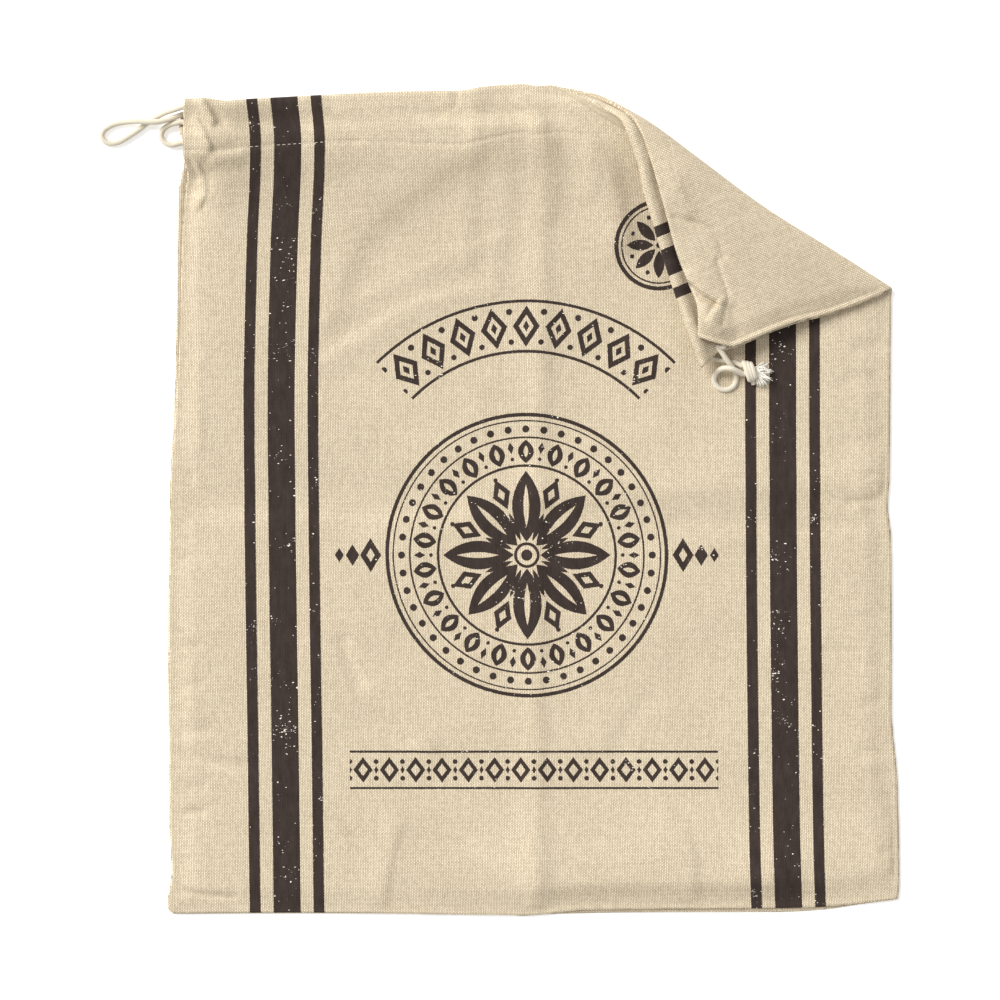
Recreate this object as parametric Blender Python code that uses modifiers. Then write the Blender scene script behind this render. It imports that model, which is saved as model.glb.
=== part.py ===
"""Linen bread bag with a drawstring, lying on its back with one corner of its mouth folded over.

Two cloth panels lie one on the other. Each panel's mouth edge is turned in to make a casing, and
one cord runs through both casings: it loops out at the left and is knotted at the folded corner.

Objects are in metres, +Z up, with the mouth towards +Y and the back panel flat on Z = 0. The sizes
and tables below are in millimetres. "Open" places are those of the bag before its corner is folded.
"""

import math
from bisect import bisect_right
from collections import namedtuple

import bmesh
import bpy
from mathutils import Vector

MM = 0.001

# --- Cloth, cord and hem ---------------------------------------------------------------------
CLOTH = 1.0  # thickness of one layer of cloth
GAP = 0.3  # air between layers and pieces that touch
LAYER = CLOTH + GAP  # from the middle of one layer to the middle of the next
CORD = 3.0  # diameter of the drawstring
HEM = 26.0  # depth of the casing at the mouth
HEM_INSIDE = 25.0  # how far down the turned-in cloth reaches inside
TURN = 0.8  # radius of the cloth where it turns in at the mouth
HEIGHT = 431.0  # bottom seam to mouth

BACK_Z = CLOTH / 2  # middle of the back panel
FRONT_Z = BACK_Z + LAYER  # middle of the front panel, lying on the back one
BODY_TOP = FRONT_Z + CLOTH / 2
CORD_CLEAR = 0.35  # air on each side of a cord inside a casing
CORD_ABOVE = CLOTH / 2 + CORD_CLEAR + CORD / 2  # middle of a layer to the middle of a cord on it

# A cord lifts the cloth over it into a soft ridge, which each further layer follows more loosely.
RIDGE = CORD + 2 * CORD_CLEAR - GAP + 0.2
RIDGE_WIDTH = 7.0
RIDGE_EASE = 0.25  # more height with each layer
RIDGE_SPREAD = 1.3  # more width with each layer
STACK_TOP = BODY_TOP + 2 * LAYER + RIDGE + 5 * RIDGE_EASE  # top of the casing over a cord
HEM_STEP = 9.0  # how far past a hem's end the cloth over it takes to come down
SWELL_REACH = 4.0  # how far the inner layer takes to come down from the mouth's turned edge

# Near the left end the cord turns back inside the mouth and lifts the front casing.
Pocket = namedtuple("Pocket", "x y flat reach lift")
POCKET = Pocket(x=-176.6, y=200.2, flat=9.5, reach=26.0, lift=CORD + GAP + 0.4)

# --- Fold of the corner ----------------------------------------------------------------------
FOLD_START = Vector((35.1, 213.5))  # where the folded edge meets the mouth
FOLD_END = Vector((187.4, 113.2))  # where it meets the right side
FOLD_ALONG = (FOLD_END - FOLD_START).normalized()
FOLD_OUT = Vector((-FOLD_ALONG.y, FOLD_ALONG.x))
FOLD_LENGTH = (FOLD_END - FOLD_START).length
ROLL_AT_MOUTH = 10.2  # height of the roll's axis where the casings wrap round it
ROLL_AT_SIDE = 2.8
ROLL_EVEN = 60.0  # how far along the folded edge the roll keeps its full size
ROLL_STEPS = 11  # facets round the half turn
SETTLE = 70.0  # how far past the roll the flap takes to come down
SETTLE_AT_CASING = 60.0  # how far from the thick casing the flap takes to come down
FLAP_CLEAR = 0.7

# How far the folded edge strays outwards: distance along it, and stray.
FOLD_STRAY = (
    (-20, 0.0),
    (0, 0.2),
    (30, 2.0),
    (62, 0.3),
    (108, -1.9),
    (150, -0.6),
    (182, 0.0),
)
STRAY_REACH = 26.0

# --- Outlines of the open panels -------------------------------------------------------------
# Sides: height and x. Bottoms and mouths: x and height.
BACK_LEFT = (
    (-218.9, -189.8),
    (-214.0, -193.0),
    (-197.0, -191.1),
    (-170.0, -192.3),
    (-74.0, -192.9),
    (6.0, -191.9),
    (37.0, -190.2),
    (71.0, -188.9),
    (135.0, -187.8),
    (163.0, -187.2),
    (171.0, -185.6),
    (181.0, -184.2),
    (190.0, -185.0),
    (194.0, -186.6),
    (200.0, -186.8),
    (204.0, -184.6),
    (211.6, -183.4),
)
FRONT_LEFT = (
    (-218.2, -189.2),
    (-214.0, -192.2),
    (-197.0, -190.5),
    (-170.0, -191.7),
    (-74.0, -192.2),
    (6.0, -191.3),
    (37.0, -189.3),
    (86.0, -186.6),
    (135.0, -185.3),
    (163.0, -183.6),
    (171.0, -182.1),
    (181.0, -183.8),
    (203.0, -183.6),
    (212.2, -183.0),
)
BACK_RIGHT = (
    (-211.0, 192.5),
    (-201.0, 193.2),
    (-150.0, 192.2),
    (-111.0, 189.1),
    (-38.0, 189.1),
    (-18.0, 188.6),
    (-4.0, 187.1),
    (14.0, 188.1),
    (104.0, 188.8),
    (125.0, 191.0),
    (155.0, 190.2),
    (166.0, 188.0),
    (184.0, 187.4),
    (205.0, 187.8),
    (209.0, 186.0),
    (215.0, 182.0),
    (222.0, 176.7),
)
FRONT_RIGHT = (
    (-210.8, 192.1),
    (-201.0, 192.8),
    (-150.0, 191.8),
    (-111.0, 188.7),
    (-38.0, 188.8),
    (-18.0, 188.2),
    (-4.0, 186.7),
    (14.0, 187.7),
    (104.0, 188.4),
    (125.0, 190.6),
    (155.0, 189.8),
    (166.0, 187.6),
    (184.0, 187.0),
    (206.0, 187.8),
    (214.6, 186.4),
    (219.5, 188.0),
    (224.0, 190.5),
)
BACK_MOUTH = (
    (-183.4, 211.6),
    (-172.4, 210.9),
    (-161.5, 209.5),
    (-150.7, 210.3),
    (-112.0, 211.9),
    (-76.0, 213.8),
    (-40.0, 214.9),
    (-23.5, 217.1),
    (-4.5, 218.3),
    (14.0, 216.6),
    (30.0, 213.4),
    (42.8, 213.6),
    (54.0, 212.4),
    (66.0, 211.0),
    (85.6, 211.6),
    (117.0, 215.2),
    (137.0, 217.0),
    (159.0, 216.4),
    (176.7, 222.0),
)
FRONT_MOUTH = (
    (-183.0, 212.2),
    (-172.4, 211.7),
    (-161.5, 210.4),
    (-150.7, 211.2),
    (-112.0, 212.8),
    (-76.0, 214.7),
    (-40.0, 215.8),
    (-23.5, 218.1),
    (-4.5, 219.4),
    (1.0, 218.2),
    (14.0, 217.6),
    (30.0, 214.2),
    (42.8, 214.4),
    (66.0, 217.4),
    (83.0, 218.2),
    (105.0, 222.4),
    (136.0, 224.4),
    (168.0, 225.2),
    (190.5, 224.0),
)
BACK_BOTTOM = (
    (-189.8, -218.9),
    (-123.0, -218.6),
    (-12.0, -219.2),
    (-4.0, -220.2),
    (3.0, -219.2),
    (51.0, -218.0),
    (130.0, -217.7),
    (151.5, -216.6),
    (172.7, -213.7),
    (192.5, -211.0),
)
FRONT_BOTTOM = (
    (-189.2, -218.2),
    (-123.0, -218.1),
    (-4.0, -219.4),
    (16.0, -217.8),
    (28.0, -216.6),
    (130.0, -215.6),
    (151.5, -215.0),
    (172.7, -213.1),
    (192.1, -210.8),
)

Outline = namedtuple("Outline", "left right bottom mouth")
BACK = Outline(BACK_LEFT, BACK_RIGHT, BACK_BOTTOM, BACK_MOUTH)
FRONT = Outline(FRONT_LEFT, FRONT_RIGHT, FRONT_BOTTOM, FRONT_MOUTH)

# --- Mesh lines ------------------------------------------------------------------------------
COLUMNS = 22  # even columns across a panel
CREASE_COLUMNS = (0.479, 0.489, 0.501, 0.513, 0.525)  # close columns at the middle crease
BODY_ROWS = 13
CASING_DEPTHS = (26.0, 22.5, 19.0, 16.0, 13.0, 10.0, 7.0, 4.0, TURN)  # below the mouth
TURN_ANGLES = (-45, 0, 45)

# --- Creases of the front panel: a ridge from one point to another -----------------------------
Crease = namedtuple("Crease", "x1 y1 x2 y2 height width")
CREASES = (
    Crease(1.3, 176, 1.3, -216, 1.7, 6.0),  # middle, from being packed folded
    Crease(-30, 178, -104, 126, 1.9, 15.0),
    Crease(-175, 160, -173, 56, 1.8, 8.0),
    Crease(-184, 178, -168, 164, 1.5, 8.0),
    Crease(-192, -3, -166, 7, 1.5, 8.0),
    Crease(-190, -199, -162, -210, 1.6, 7.0),
    Crease(-98, -78, -86, -112, 1.3, 11.0),
    Crease(-75, -152, -78, -217, 1.1, 9.0),
    Crease(-120, 60, -60, -30, 1.2, 18.0),
    Crease(40, 60, 70, -60, 1.1, 18.0),
    Crease(168, 104, 178, 92, 1.5, 8.0),
    Crease(190, 14, 160, 18, 1.3, 8.0),
    Crease(190, -8, 164, -14, 1.3, 8.0),
    Crease(190, -63, 166, -66, 1.2, 8.0),
    Crease(60, -170, 90, -214, 1.2, 12.0),
    Crease(130, -140, 150, -60, 1.1, 16.0),
)

CREASE_FADE = 9.0  # how far in from the panel's edge a crease reaches its full height
CREASE_END = 1.5  # how far a crease fades past its ends, in widths

# --- Drawstring ------------------------------------------------------------------------------
# Where each cord runs in the open bag's casings: x, then its height in the back and in the front.
CORD_LINES = (
    (-190, 189.4, 206.8),
    (-150, 190.8, 204.4),
    (-60, 194.5, 206.0),
    (24, 195.5, 207.4),
    (110, 198.0, 213.0),
    (150, 203.5, 217.6),
    (190, 211.5, 219.6),
)
# The x of the cord's points in each casing, close together where it goes round the folded edge.
FRONT_RUN = (
    *(187, 150, 130, 110, 94, 82, 74),
    *(69, 64, 59, 54, 49, 44, 39, 34, 29, 22),
    *(-60, -150, -160, -166, -172, -178),
)
BACK_RUN = (
    *(-176, -150, -60, 24),
    *(42, 48, 54, 60, 66, 72, 78, 84, 90, 96),
    *(110, 130, 150, 170, 186),
)

# From the knot to the front casing, over the folded corner: x, y, z.
KNOT_TO_FRONT = (
    (110.6, 70.3, 5.4),
    (107.2, 71.8, 4.3),
    (102.6, 72.8, 4.15),
    (98.0, 73.6, 4.3),
    (94.6, 74.4, 4.9),
)
# The loops at the left end: x, y, z.
LEFT_LOOP = (
    (-183.4, 206.9, 9.0),
    (-188.8, 205.6, 7.8),
    (-193.8, 204.2, 5.8),
    (-199.0, 202.1, 2.9),
    (-203.8, 199.2, 1.5),
    (-208.8, 195.6, 1.5),
    (-215.0, 191.5, 1.5),
    (-219.6, 188.8, 1.5),
    (-224.0, 188.2, 1.5),
    (-227.4, 190.6, 1.5),
    (-228.2, 194.6, 1.5),
    (-225.6, 198.0, 1.5),
    (-220.6, 199.6, 1.6),
    (-214.0, 199.8, 2.6),
    (-208.6, 199.6, 4.2),
    (-204.0, 199.3, 5.1),
    (-199.0, 199.2, 5.3),
    (-193.8, 200.2, 5.1),
    (-188.6, 202.0, 4.9),
)
# The turn inside the mouth, lying on the back casing: x, y.
TURN_BACK = (
    (-183.4, 204.1),
    (-178.0, 206.2),
    (-172.4, 205.2),
    (-169.4, 200.4),
    (-171.4, 195.4),
    (-177.0, 193.9),
    (-181.4, 196.6),
)
LEFT_SMALL_LOOP = (
    (-185.0, 199.2, 4.9),
    (-188.6, 198.8, 4.2),
    (-192.2, 197.8, 2.9),
    (-195.4, 195.8, 1.8),
    (-196.9, 192.4, 1.5),
    (-195.4, 189.0, 1.5),
    (-191.6, 187.4, 1.8),
    (-187.0, 188.2, 2.5),
)
# From the back casing round the loop on the front panel to the knot: x, y, z.
RIGHT_LOOP = (
    (99.4, 76.9, 8.9),
    (102.6, 72.6, 7.5),
    (105.4, 68.9, 5.9),
    (107.0, 64.8, 4.5),
    (106.0, 60.3, 4.1),
    (102.4, 58.0, 4.1),
    (98.0, 58.7, 4.1),
    (95.5, 62.4, 4.3),
    (96.3, 66.7, 6.0),
    (99.9, 69.0, 8.6),
    (104.2, 68.8, 9.8),
    (107.6, 67.4, 8.7),
    (110.4, 66.0, 7.2),
)

# --- Knot and its frayed tuft ------------------------------------------------------------------
KNOT = Vector((114.8, 68.1, 6.7))
KNOT_RADII = Vector((3.5, 5.1, 3.6))
KNOT_RINGS = 12
KNOT_SEGMENTS = 20
KNOT_WRAPS = 3  # turns of cord that show round the knot
KNOT_SLANT = 2.6  # how far the turns lean, in radians from the middle to an end
KNOT_GROOVE = 0.1
TUFT_STEPS = 3
TUFT_TAPER = 0.8
TUFT_DROOP = 0.08

# The frayed ends grow out of the lump's faces whose middles, on a ball of radius 1, lie in a box.
Tuft = namedtuple("Tuft", "length low high")
TUFTS = (
    Tuft(8.5, (0.55, -1.0, -0.5), (1.0, 1.0, 0.8)),
    Tuft(3.0, (-0.3, -1.0, -0.5), (0.55, -0.86, 0.5)),
)


def mix(a, b, t):
    return a + (b - a) * t


def smooth(t):
    """0 below 0, 1 above 1, and an S-shaped step between."""
    t = min(1.0, max(0.0, t))
    return t * t * (3 - 2 * t)


def curve_at(table, at, column=1):
    """The value of a smooth curve through the table's rows, which are sorted by their first column."""
    keys = [row[0] for row in table]
    at = min(max(at, keys[0]), keys[-1])
    i = min(max(bisect_right(keys, at) - 1, 0), len(keys) - 2)

    def rise(k):
        return (table[k + 1][column] - table[k][column]) / (keys[k + 1] - keys[k])

    def slope(k):
        if k == 0 or k == len(keys) - 1:
            return rise(min(k, len(keys) - 2))
        before, after = rise(k - 1), rise(k)
        return 0.0 if before * after <= 0 else 2 * before * after / (before + after)

    width = keys[i + 1] - keys[i]
    t = (at - keys[i]) / width
    return (
        (2 * t**3 - 3 * t**2 + 1) * table[i][column]
        + (t**3 - 2 * t**2 + t) * width * slope(i)
        + (3 * t**2 - 2 * t**3) * table[i + 1][column]
        + (t**3 - t**2) * width * slope(i + 1)
    )


# --- Heights of the open bag's layers ----------------------------------------------------------
def ridge(distance, layers=0):
    """Lift of the cloth near a cord, with this many layers between them."""
    width = RIDGE_WIDTH + layers * RIDGE_SPREAD
    return (RIDGE + layers * RIDGE_EASE) * math.exp(-((distance / width) ** 2))


def straight_at(table, at, column):
    """The value of the broken line through the table's rows."""
    i = min(max(bisect_right([row[0] for row in table], at) - 1, 0), len(table) - 2)
    low, high = table[i], table[i + 1]
    return mix(low[column], high[column], (at - low[0]) / (high[0] - low[0]))


def below_mouth(outline, x, y):
    return curve_at(outline.mouth, x) - y


def back_cord_y(x):
    return straight_at(CORD_LINES, x, 1)


def front_cord_y(x):
    return straight_at(CORD_LINES, x, 2)


def edge_swell(depth):
    """The casing's inner layer stands a little higher beside the mouth's turned edge."""
    return (2 * TURN - LAYER) * (1 - smooth((depth - TURN) / SWELL_REACH))


def pocket_lift(x, y):
    away = math.hypot(x - POCKET.x, y - POCKET.y)
    return POCKET.lift * (1 - smooth((away - POCKET.flat) / (POCKET.reach - POCKET.flat)))


def back_inside_z(x, y, ridge_height=None):
    """Middle of the back panel's turned-in layer."""
    if ridge_height is None:
        ridge_height = ridge(y - back_cord_y(x))
    return BACK_Z + LAYER + edge_swell(below_mouth(BACK, x, y)) + ridge_height


def front_inside_z(x, y):
    """Middle of the front panel's turned-in layer, lying on the back panel's."""
    return back_inside_z(x, y, ridge(y - back_cord_y(x), 1)) + LAYER + pocket_lift(x, y)


def crease_height(x, y):
    """Height of the front panel's creases. It fades out at the panel's sides and bottom."""
    total = 0.0
    for c in CREASES:
        run = Vector((c.x2 - c.x1, c.y2 - c.y1))
        away = Vector((x - c.x1, y - c.y1))
        t = away.dot(run) / run.length_squared
        past = max(0.0, -t, t - 1) * run.length
        side = abs(away.x * run.y - away.y * run.x) / run.length
        total += c.height * math.exp(-((side / c.width) ** 2) - (past / (CREASE_END * c.width)) ** 2)
    edge = min(x - curve_at(FRONT_LEFT, y), curve_at(FRONT_RIGHT, y) - x)
    edge = min(edge, y - curve_at(FRONT_BOTTOM, x))
    return total * smooth(edge / CREASE_FADE)


def front_z(x, y):
    """Middle of the front panel's outer layer: over the casings near the mouth, on the back below."""
    own_depth = below_mouth(FRONT, x, y)
    over_back_hem = 1 - smooth((below_mouth(BACK, x, y) - HEM) / HEM_STEP)
    over_own_hem = 1 - smooth((own_depth - HEM) / HEM_STEP)
    over_back_cord = over_back_hem * ridge(y - back_cord_y(x), 2)
    over_own_cord = ridge(y - front_cord_y(x)) + over_back_hem * ridge(y - back_cord_y(x), 1)
    on_back_hem = back_inside_z(x, y, 0) + LAYER + pocket_lift(x, y)
    z = mix(FRONT_Z + crease_height(x, y), on_back_hem, over_back_hem)
    z += over_own_hem * (LAYER + edge_swell(own_depth))
    return z + (over_back_cord**4 + over_own_cord**4) ** 0.25


# --- Folding the corner over -------------------------------------------------------------------
def roll_height(along):
    t = (along - ROLL_EVEN) / (FOLD_LENGTH - ROLL_EVEN)
    return mix(ROLL_AT_MOUTH, ROLL_AT_SIDE, min(1.0, max(0.0, t)))


def at_fold(along, out):
    """Place on the ground: this far along the folded edge, and this far out from it."""
    return FOLD_START + along * FOLD_ALONG + out * FOLD_OUT


def flap_rest(open_place, place):
    """Height that the folded-over back panel's underside comes to, plus that of the open bag."""
    depth = below_mouth(BACK, *open_place)
    casing = 1 - smooth((depth - HEM) / SETTLE_AT_CASING)
    under = BODY_TOP + crease_height(*place) + FLAP_CLEAR
    return under + mix(BODY_TOP, STACK_TOP, casing)


def folded(x, y, z):
    """Where a point of the open bag lies once the corner is folded over the front."""
    open_place = Vector((x, y))
    along = (open_place - FOLD_START).dot(FOLD_ALONG)
    out = (open_place - FOLD_START).dot(FOLD_OUT)
    axis = roll_height(along)
    radius = axis - BACK_Z
    angle = (out + axis) / radius
    if angle > math.pi:
        past = (angle - math.pi) * radius
        out = -axis - past
        rest = flap_rest(open_place, at_fold(along, out))
        z = mix(2 * axis, rest, smooth(past / SETTLE)) - z
    elif angle > 0:
        out = -axis + (axis - z) * math.sin(angle)
        z = axis - (axis - z) * math.cos(angle)
    out += curve_at(FOLD_STRAY, along) * math.exp(-((out / STRAY_REACH) ** 2))
    place = at_fold(along, out)
    return place.x, place.y, z


# --- Panels ------------------------------------------------------------------------------------
def side_point(table, t):
    height = mix(table[0][0], table[-1][0], t)
    return Vector((curve_at(table, height), height))


def edge_point(table, t):
    x = mix(table[0][0], table[-1][0], t)
    return Vector((x, curve_at(table, x)))


def panel_point(outline, u, v):
    """Place on the open panel: u from its left side to its right one, v from bottom to mouth."""
    left, right = side_point(outline.left, v), side_point(outline.right, v)
    bottom, mouth = edge_point(outline.bottom, u), edge_point(outline.mouth, u)
    low = mix(Vector(outline.bottom[0]), Vector(outline.bottom[-1]), u)
    high = mix(Vector(outline.mouth[0]), Vector(outline.mouth[-1]), u)
    return mix(left, right, u) + mix(bottom, mouth, v) - mix(low, high, v)


def panel_columns():
    even = [i / COLUMNS for i in range(COLUMNS + 1)]
    clear = 0.5 * (CREASE_COLUMNS[1] - CREASE_COLUMNS[0])
    apart = [u for u in even if min(abs(u - c) for c in CREASE_COLUMNS) > clear]
    return sorted(apart + list(CREASE_COLUMNS))


def panel_rows(outer_z, inner_z, inward):
    """Rows from the bottom seam to the mouth and down inside: (v, height function) pairs.

    inward is +1 where the hem turns up over its panel and -1 where it turns down under it.
    """
    casing_start = 1 - CASING_DEPTHS[0] / HEIGHT
    rows = [(casing_start * i / BODY_ROWS, outer_z) for i in range(BODY_ROWS)]
    rows += [(1 - depth / HEIGHT, outer_z) for depth in CASING_DEPTHS]
    for degrees in TURN_ANGLES:
        angle = math.radians(degrees)
        depth = TURN * (1 - math.cos(angle))
        lift = inward * TURN * (1 + math.sin(angle))
        rows.append((1 - depth / HEIGHT, lambda x, y, lift=lift: outer_z(x, y) + lift))
    inside = (HEM_INSIDE,) + CASING_DEPTHS[1:]
    rows += [(1 - depth / HEIGHT, inner_z) for depth in reversed(inside)]
    return rows


def cut_along_roll(mesh):
    """Cuts the open sheet along the roll's straight lines, so that its facets bend cleanly."""
    cut(mesh, mesh.faces[:], at_fold(ROLL_EVEN, 0), FOLD_ALONG)
    for step in range(ROLL_STEPS + 1):
        turn = math.pi * step / ROLL_STEPS
        near = roll_line(0, turn)
        even = roll_line(ROLL_EVEN, turn)
        far = roll_line(FOLD_LENGTH, turn)
        for beyond, start, end in ((False, near, even), (True, even, far)):
            faces = [f for f in mesh.faces if is_beyond(f) == beyond]
            run = (end - start).normalized()
            cut(mesh, faces, start, Vector((-run.y, run.x)))


def roll_line(along, turn):
    axis = roll_height(along)
    return at_fold(along, turn * (axis - BACK_Z) - axis)


def is_beyond(face):
    middle = face.calc_center_median().xy
    return (middle - FOLD_START).dot(FOLD_ALONG) > ROLL_EVEN


def cut(mesh, faces, at, normal):
    edges = {e for f in faces for e in f.edges}
    verts = {v for f in faces for v in f.verts}
    bmesh.ops.bisect_plane(
        mesh,
        geom=list(verts) + list(edges) + list(faces),
        dist=0.02,
        plane_co=at.to_3d(),
        plane_no=normal.to_3d(),
    )


def sheet_mesh(name, outline, rows):
    """The middle surface of a panel, first laid open, then cut along the roll and folded."""
    mesh = bmesh.new()
    grid = []
    for v, height in rows:
        places = [panel_point(outline, u, v) for u in panel_columns()]
        grid.append([mesh.verts.new((p.x, p.y, height(p.x, p.y))) for p in places])
    for low, high in zip(grid, grid[1:]):
        for i in range(len(low) - 1):
            mesh.faces.new((low[i], low[i + 1], high[i + 1], high[i]))
    cut_along_roll(mesh)
    bmesh.ops.triangulate(mesh, faces=mesh.faces[:])
    for vert in mesh.verts:
        vert.co = Vector(folded(*vert.co)) * MM
    data = bpy.data.meshes.new(name)
    mesh.to_mesh(data)
    mesh.free()
    data.shade_smooth()
    return data


def add_panel(name, outline, rows, material, collection):
    panel = bpy.data.objects.new(name, sheet_mesh(name, outline, rows))
    thick = panel.modifiers.new("Cloth", "SOLIDIFY")
    thick.thickness = CLOTH * MM
    thick.offset = 0
    thick.use_even_offset = True
    panel.data.materials.append(material)
    collection.objects.link(panel)
    return panel


# --- Drawstring --------------------------------------------------------------------------------
def cord_route():
    """All the points that the drawstring follows, from the knot round to the knot again."""
    in_front = [
        folded(x, front_cord_y(x), front_inside_z(x, front_cord_y(x)) + CORD_ABOVE)
        for x in FRONT_RUN
    ]
    in_back = [folded(x, back_cord_y(x), BACK_Z + CORD_ABOVE) for x in BACK_RUN]
    turn_back = [(x, y, back_inside_z(x, y) + CORD_ABOVE) for x, y in TURN_BACK]
    return [
        Vector(point)
        for leg in (
            KNOT_TO_FRONT,
            in_front,
            LEFT_LOOP,
            turn_back,
            LEFT_SMALL_LOOP,
            in_back,
            RIGHT_LOOP,
        )
        for point in leg
    ]


def add_cord(material, collection):
    curve = bpy.data.curves.new("drawstring", "CURVE")
    curve.dimensions = "3D"
    curve.bevel_depth = CORD / 2 * MM
    curve.bevel_resolution = 2
    curve.use_fill_caps = True
    points = cord_route()
    spline = curve.splines.new("POLY")
    spline.points.add(len(points) - 1)
    for target, point in zip(spline.points, points):
        target.co = (*(point * MM), 1)
    curve.materials.append(material)
    cord = bpy.data.objects.new("drawstring", curve)
    collection.objects.link(cord)
    return cord


# --- Knot --------------------------------------------------------------------------------------
def add_knot(material, collection):
    """The overhand knot as one wrapped lump, with the frayed ends growing out of it."""
    mesh = bmesh.new()
    bmesh.ops.create_uvsphere(mesh, u_segments=KNOT_SEGMENTS, v_segments=KNOT_RINGS, radius=1)
    roots = [(tuft, [f for f in mesh.faces if is_root(f, tuft)]) for tuft in TUFTS]
    for vert in mesh.verts:
        turn = KNOT_WRAPS * math.atan2(vert.co.z, vert.co.x) + KNOT_SLANT * vert.co.y
        vert.co *= 1 + KNOT_GROOVE * math.cos(turn) * (1 - abs(vert.co.y))
    for tuft, faces in roots:
        for face in faces:
            grow_strand(mesh, face, tuft.length)
    for vert in mesh.verts:
        scaled = Vector(a * b for a, b in zip(vert.co, KNOT_RADII))
        vert.co = (KNOT + scaled) * MM
    data = bpy.data.meshes.new("knot")
    mesh.to_mesh(data)
    mesh.free()
    data.shade_smooth()
    data.materials.append(material)
    knot = bpy.data.objects.new("knot", data)
    collection.objects.link(knot)
    return knot


def is_root(face, tuft):
    middle = face.calc_center_median()
    return all(a < b < c for a, b, c in zip(tuft.low, middle, tuft.high))


def grow_strand(mesh, face, length):
    """Pulls one face of the lump out into a tapering strand that fans away from the middle."""
    away = face.calc_center_median()
    away = Vector((away.x, away.y * 1.1, away.z * 0.3 - TUFT_DROOP)).normalized()
    step = Vector((a / b for a, b in zip(away * (length / TUFT_STEPS), KNOT_RADII)))
    for _ in range(TUFT_STEPS):
        face = bmesh.ops.extrude_discrete_faces(mesh, faces=[face])["faces"][0]
        middle = face.calc_center_median()
        for vert in face.verts:
            vert.co = middle + (vert.co - middle) * TUFT_TAPER + step


# --- Materials and scene -----------------------------------------------------------------------
def cloth_material(name, colour, roughness):
    material = bpy.data.materials.new(name)
    material.use_nodes = True
    shader = material.node_tree.nodes["Principled BSDF"]
    shader.inputs["Base Color"].default_value = (*colour, 1)
    shader.inputs["Roughness"].default_value = roughness
    shader.inputs["Metallic"].default_value = 0
    return material


def clear_scene():
    for old in list(bpy.data.objects):
        bpy.data.objects.remove(old, do_unlink=True)


def build():
    clear_scene()
    bag = bpy.data.collections.new("linen_bread_bag")
    bpy.context.scene.collection.children.link(bag)
    linen = cloth_material("linen_back", (0.66, 0.55, 0.37), 0.9)
    printed = cloth_material("linen_front", (0.68, 0.57, 0.39), 0.9)
    cotton = cloth_material("cotton_cord", (0.83, 0.76, 0.62), 0.85)
    frayed = cloth_material("cotton_knot", (0.86, 0.8, 0.68), 0.9)

    back_rows = panel_rows(lambda x, y: BACK_Z, back_inside_z, +1)
    front_rows = panel_rows(front_z, front_inside_z, -1)
    add_panel("back_panel", BACK, back_rows, linen, bag)
    add_panel("front_panel", FRONT, front_rows, printed, bag)
    add_cord(cotton, bag)
    add_knot(frayed, bag)


build()
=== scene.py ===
"""Looks of the linen bread bag: fine cloth, print, braided cord, knot and stitches.

Sizes and tables are in millimetres, in the model's own frame: +Z up, the mouth towards +Y. "Open"
places are those of the bag before the corner of its mouth is folded over.
"""

import math
import random
from collections import namedtuple
from functools import partialmethod

import bpy
import numpy as np
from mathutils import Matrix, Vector


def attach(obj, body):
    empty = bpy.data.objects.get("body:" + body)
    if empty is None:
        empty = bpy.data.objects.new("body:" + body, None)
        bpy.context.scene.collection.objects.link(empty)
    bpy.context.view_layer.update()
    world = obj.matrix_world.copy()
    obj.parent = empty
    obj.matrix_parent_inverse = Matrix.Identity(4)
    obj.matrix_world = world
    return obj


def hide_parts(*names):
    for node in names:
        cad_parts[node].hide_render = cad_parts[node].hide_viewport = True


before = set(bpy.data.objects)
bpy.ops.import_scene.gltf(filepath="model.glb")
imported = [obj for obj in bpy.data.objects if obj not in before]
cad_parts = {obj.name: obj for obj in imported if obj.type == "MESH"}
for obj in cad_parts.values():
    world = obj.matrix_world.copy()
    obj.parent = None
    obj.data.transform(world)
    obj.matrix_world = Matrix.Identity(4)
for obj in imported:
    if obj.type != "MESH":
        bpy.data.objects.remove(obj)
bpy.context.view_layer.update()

MM = 0.001

# --- Sizes shared with the solids ---
CLOTH = 1
GAP = 0.3
LAYER = CLOTH + GAP
CORD = 3
HEM = 26
HEM_INSIDE = 25
TURN = 0.8
TURN_STEPS = 5
HEIGHT = 431
BACK_Z = CLOTH / 2
FRONT_Z = BACK_Z + LAYER
BODY_TOP = FRONT_Z + CLOTH / 2
CORD_CLEAR = 0.35
CORD_ABOVE = CLOTH / 2 + CORD_CLEAR + CORD / 2
RIDGE = CORD + 2 * CORD_CLEAR - GAP + 0.2
RIDGE_WIDTH = 7
RIDGE_EASE = 0.25
RIDGE_SPREAD = 1.3
STACK_TOP = BODY_TOP + 2 * LAYER + RIDGE + 5 * RIDGE_EASE
HEM_STEP = 20
BACK_HEM_STEP = 105
RIDGE_FADE = 90
RIDGE_SLOPE = 40
MOUTH_RISE = 5
MOUTH_RISE_REACH = 17
ROLL_APPROACH = 24
ROLL_CORE = 0.93
ROLL_TAUT = 0.7
SWELL_REACH = 4
RIM_OUT = 0.42 * CLOTH
STITCH_SINK = 0.5
STITCH_SINK_WIDTH = 0.9
STITCH_ROOM = 0.5
POCKET = (-176.6, 200.2)
POCKET_FLAT = 9.5
POCKET_REACH = 26
OUTER_POCKET_REACH = 50
POCKET_LIFT = CORD + GAP + 0.4

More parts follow.
